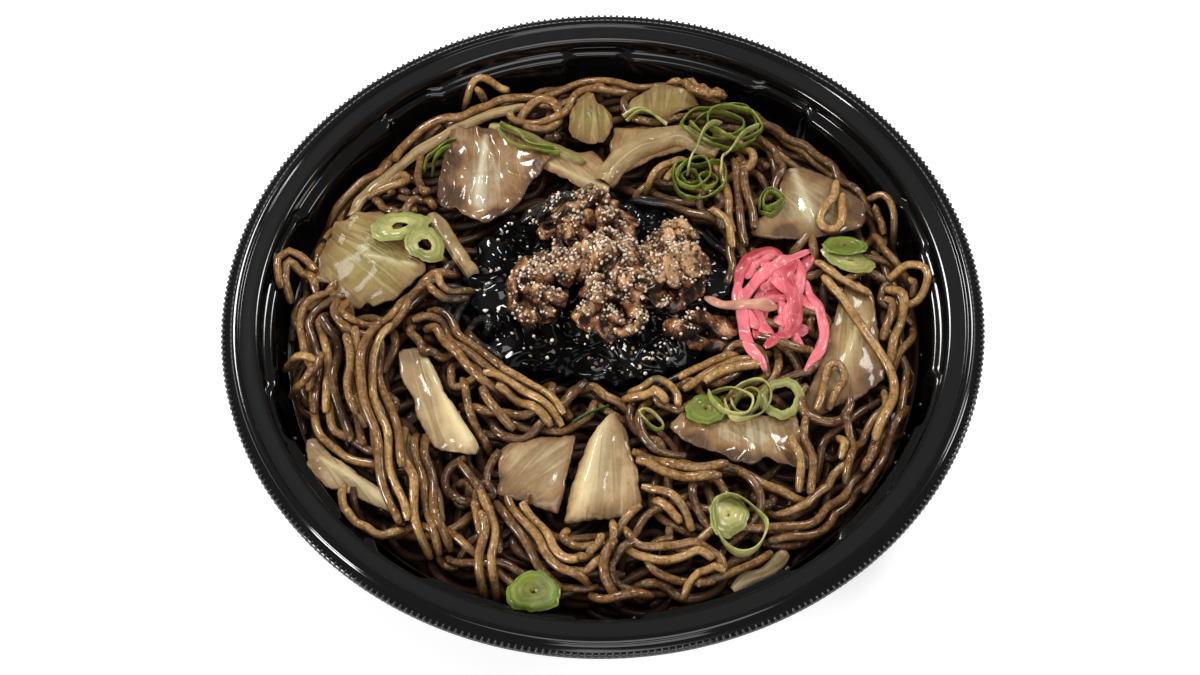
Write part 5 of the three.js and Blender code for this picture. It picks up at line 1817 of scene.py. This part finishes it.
class StageSettings(bpy.types.PropertyGroup):
    distance: length_prop("Distance", "From the rim's middle to the camera", 0.70)
    view_height: angle_prop("View height", "Angle of the view above level", 56.9)
    roll: angle_prop("Roll", "Tilt of the camera", 1.25)
    lens: FloatProperty(name="Lens", description="Focal length in millimetres", default=80.0)
    light: FloatProperty(name="Light", description="Strength of all the softboxes", default=0.5, min=0)
    sky: FloatProperty(name="Sky", description="Strength of the even light from all sides", default=0.22,
                       min=0)
    floor_colour: FloatVectorProperty(name="Floor colour", description="Colour of the board", size=3,
                                      default=(0.9, 0.9, 0.9), subtype="COLOR", min=0, max=1)


# ---------------------------------------------------------------- operators
class YAKISOBA_OT_stage(bpy.types.Operator):
    """Set up the floor, the softboxes and the camera"""

    bl_idname = "yakisoba.stage"
    bl_label = "Stage"

    def execute(self, context):
        make_stage(context.scene.yakisoba_stage)
        return {"FINISHED"}


class YAKISOBA_OT_bowl(bpy.types.Operator):
    """Mould the black bowl with its lid channel, stacking shoulder and knurled edge"""

    bl_idname = "yakisoba.bowl"
    bl_label = "Bowl"

    def execute(self, context):
        make_bowl(context.scene.yakisoba_bowl)
        return {"FINISHED"}


class YAKISOBA_OT_under_noodles(bpy.types.Operator):
    """Lay the noodles that lie under the toppings"""

    bl_idname = "yakisoba.under_noodles"
    bl_label = "Under noodles"

    def execute(self, context):
        settings = context.scene.yakisoba_noodles
        rng = np.random.default_rng(settings.seed)
        fill_with_noodles(settings, rng, "under", 6.0, settings.under_length)
        return {"FINISHED"}


class YAKISOBA_OT_sauce(bpy.types.Operator):
    """Pour the black sauce and lay the pork on it"""

    bl_idname = "yakisoba.sauce"
    bl_label = "Sauce and pork"

    def execute(self, context):
        make_sauce()
        make_pork()
        return {"FINISHED"}


class YAKISOBA_OT_cabbage(bpy.types.Operator):
    """Drape the cooked cabbage"""

    bl_idname = "yakisoba.cabbage"
    bl_label = "Cabbage"

    def execute(self, context):
        make_cabbage(context.scene.yakisoba_toppings)
        return {"FINISHED"}


class YAKISOBA_OT_over_noodles(bpy.types.Operator):
    """Lay the noodles between the toppings, then shape every noodle"""

    bl_idname = "yakisoba.over_noodles"
    bl_label = "Over noodles"

    def execute(self, context):
        settings = context.scene.yakisoba_noodles
        rng = np.random.default_rng(settings.seed + 1)
        fill_with_noodles(settings, rng, "middle", 2.8, settings.over_length * 0.6, clear=True, shortest=36)
        fill_with_noodles(settings, rng, "over", 0.4, settings.over_length * 0.4, clear=True, shortest=45)
        lay_by_hand(settings, rng)
        make_noodles(settings)
        return {"FINISHED"}


class YAKISOBA_OT_ginger(bpy.types.Operator):
    """Heap the pickled ginger"""

    bl_idname = "yakisoba.ginger"
    bl_label = "Ginger"

    def execute(self, context):
        make_ginger(context.scene.yakisoba_toppings)
        return {"FINISHED"}


class YAKISOBA_OT_onion(bpy.types.Operator):
    """Scatter the spring onion"""

    bl_idname = "yakisoba.onion"
    bl_label = "Spring onion"

    def execute(self, context):
        make_onion()
        return {"FINISHED"}


class YAKISOBA_OT_seasoning(bpy.types.Operator):
    """Sprinkle sesame and pepper on pork and sauce"""

    bl_idname = "yakisoba.seasoning"
    bl_label = "Seasoning"

    def execute(self, context):
        make_seasoning(context.scene.yakisoba_toppings)
        return {"FINISHED"}


OPERATORS = (
    YAKISOBA_OT_stage,
    YAKISOBA_OT_bowl,
    YAKISOBA_OT_under_noodles,
    YAKISOBA_OT_sauce,
    YAKISOBA_OT_cabbage,
    YAKISOBA_OT_over_noodles,
    YAKISOBA_OT_ginger,
    YAKISOBA_OT_onion,
    YAKISOBA_OT_seasoning,
)


class YAKISOBA_PT_panel(bpy.types.Panel):
    """Lists the serving's settings and the steps that make it"""

    bl_label = "Yakisoba"
    bl_idname = "YAKISOBA_PT_panel"
    bl_space_type = "VIEW_3D"
    bl_region_type = "UI"
    bl_category = "Yakisoba"

    def draw(self, context):
        for name, group in SETTINGS.items():
            box = self.layout.box()
            for prop in group.__annotations__:
                box.prop(getattr(context.scene, name), prop)
        for operator in OPERATORS:
            self.layout.operator(operator.bl_idname)


SETTINGS = {
    "yakisoba_bowl": BowlSettings,
    "yakisoba_noodles": NoodleSettings,
    "yakisoba_toppings": ToppingSettings,
    "yakisoba_stage": StageSettings,
}
CLASSES = (*SETTINGS.values(), *OPERATORS, YAKISOBA_PT_panel)


def register():
    for cls in CLASSES:
        bpy.utils.register_class(cls)
    for name, group in SETTINGS.items():
        setattr(bpy.types.Scene, name, PointerProperty(type=group))


def unregister():
    for name in SETTINGS:
        delattr(bpy.types.Scene, name)
    for cls in reversed(CLASSES):
        bpy.utils.unregister_class(cls)


def main():
    register()
    for operator in OPERATORS:
        getattr(bpy.ops.yakisoba, operator.bl_idname.split(".")[1])()


if __name__ == "__main__":
    main()
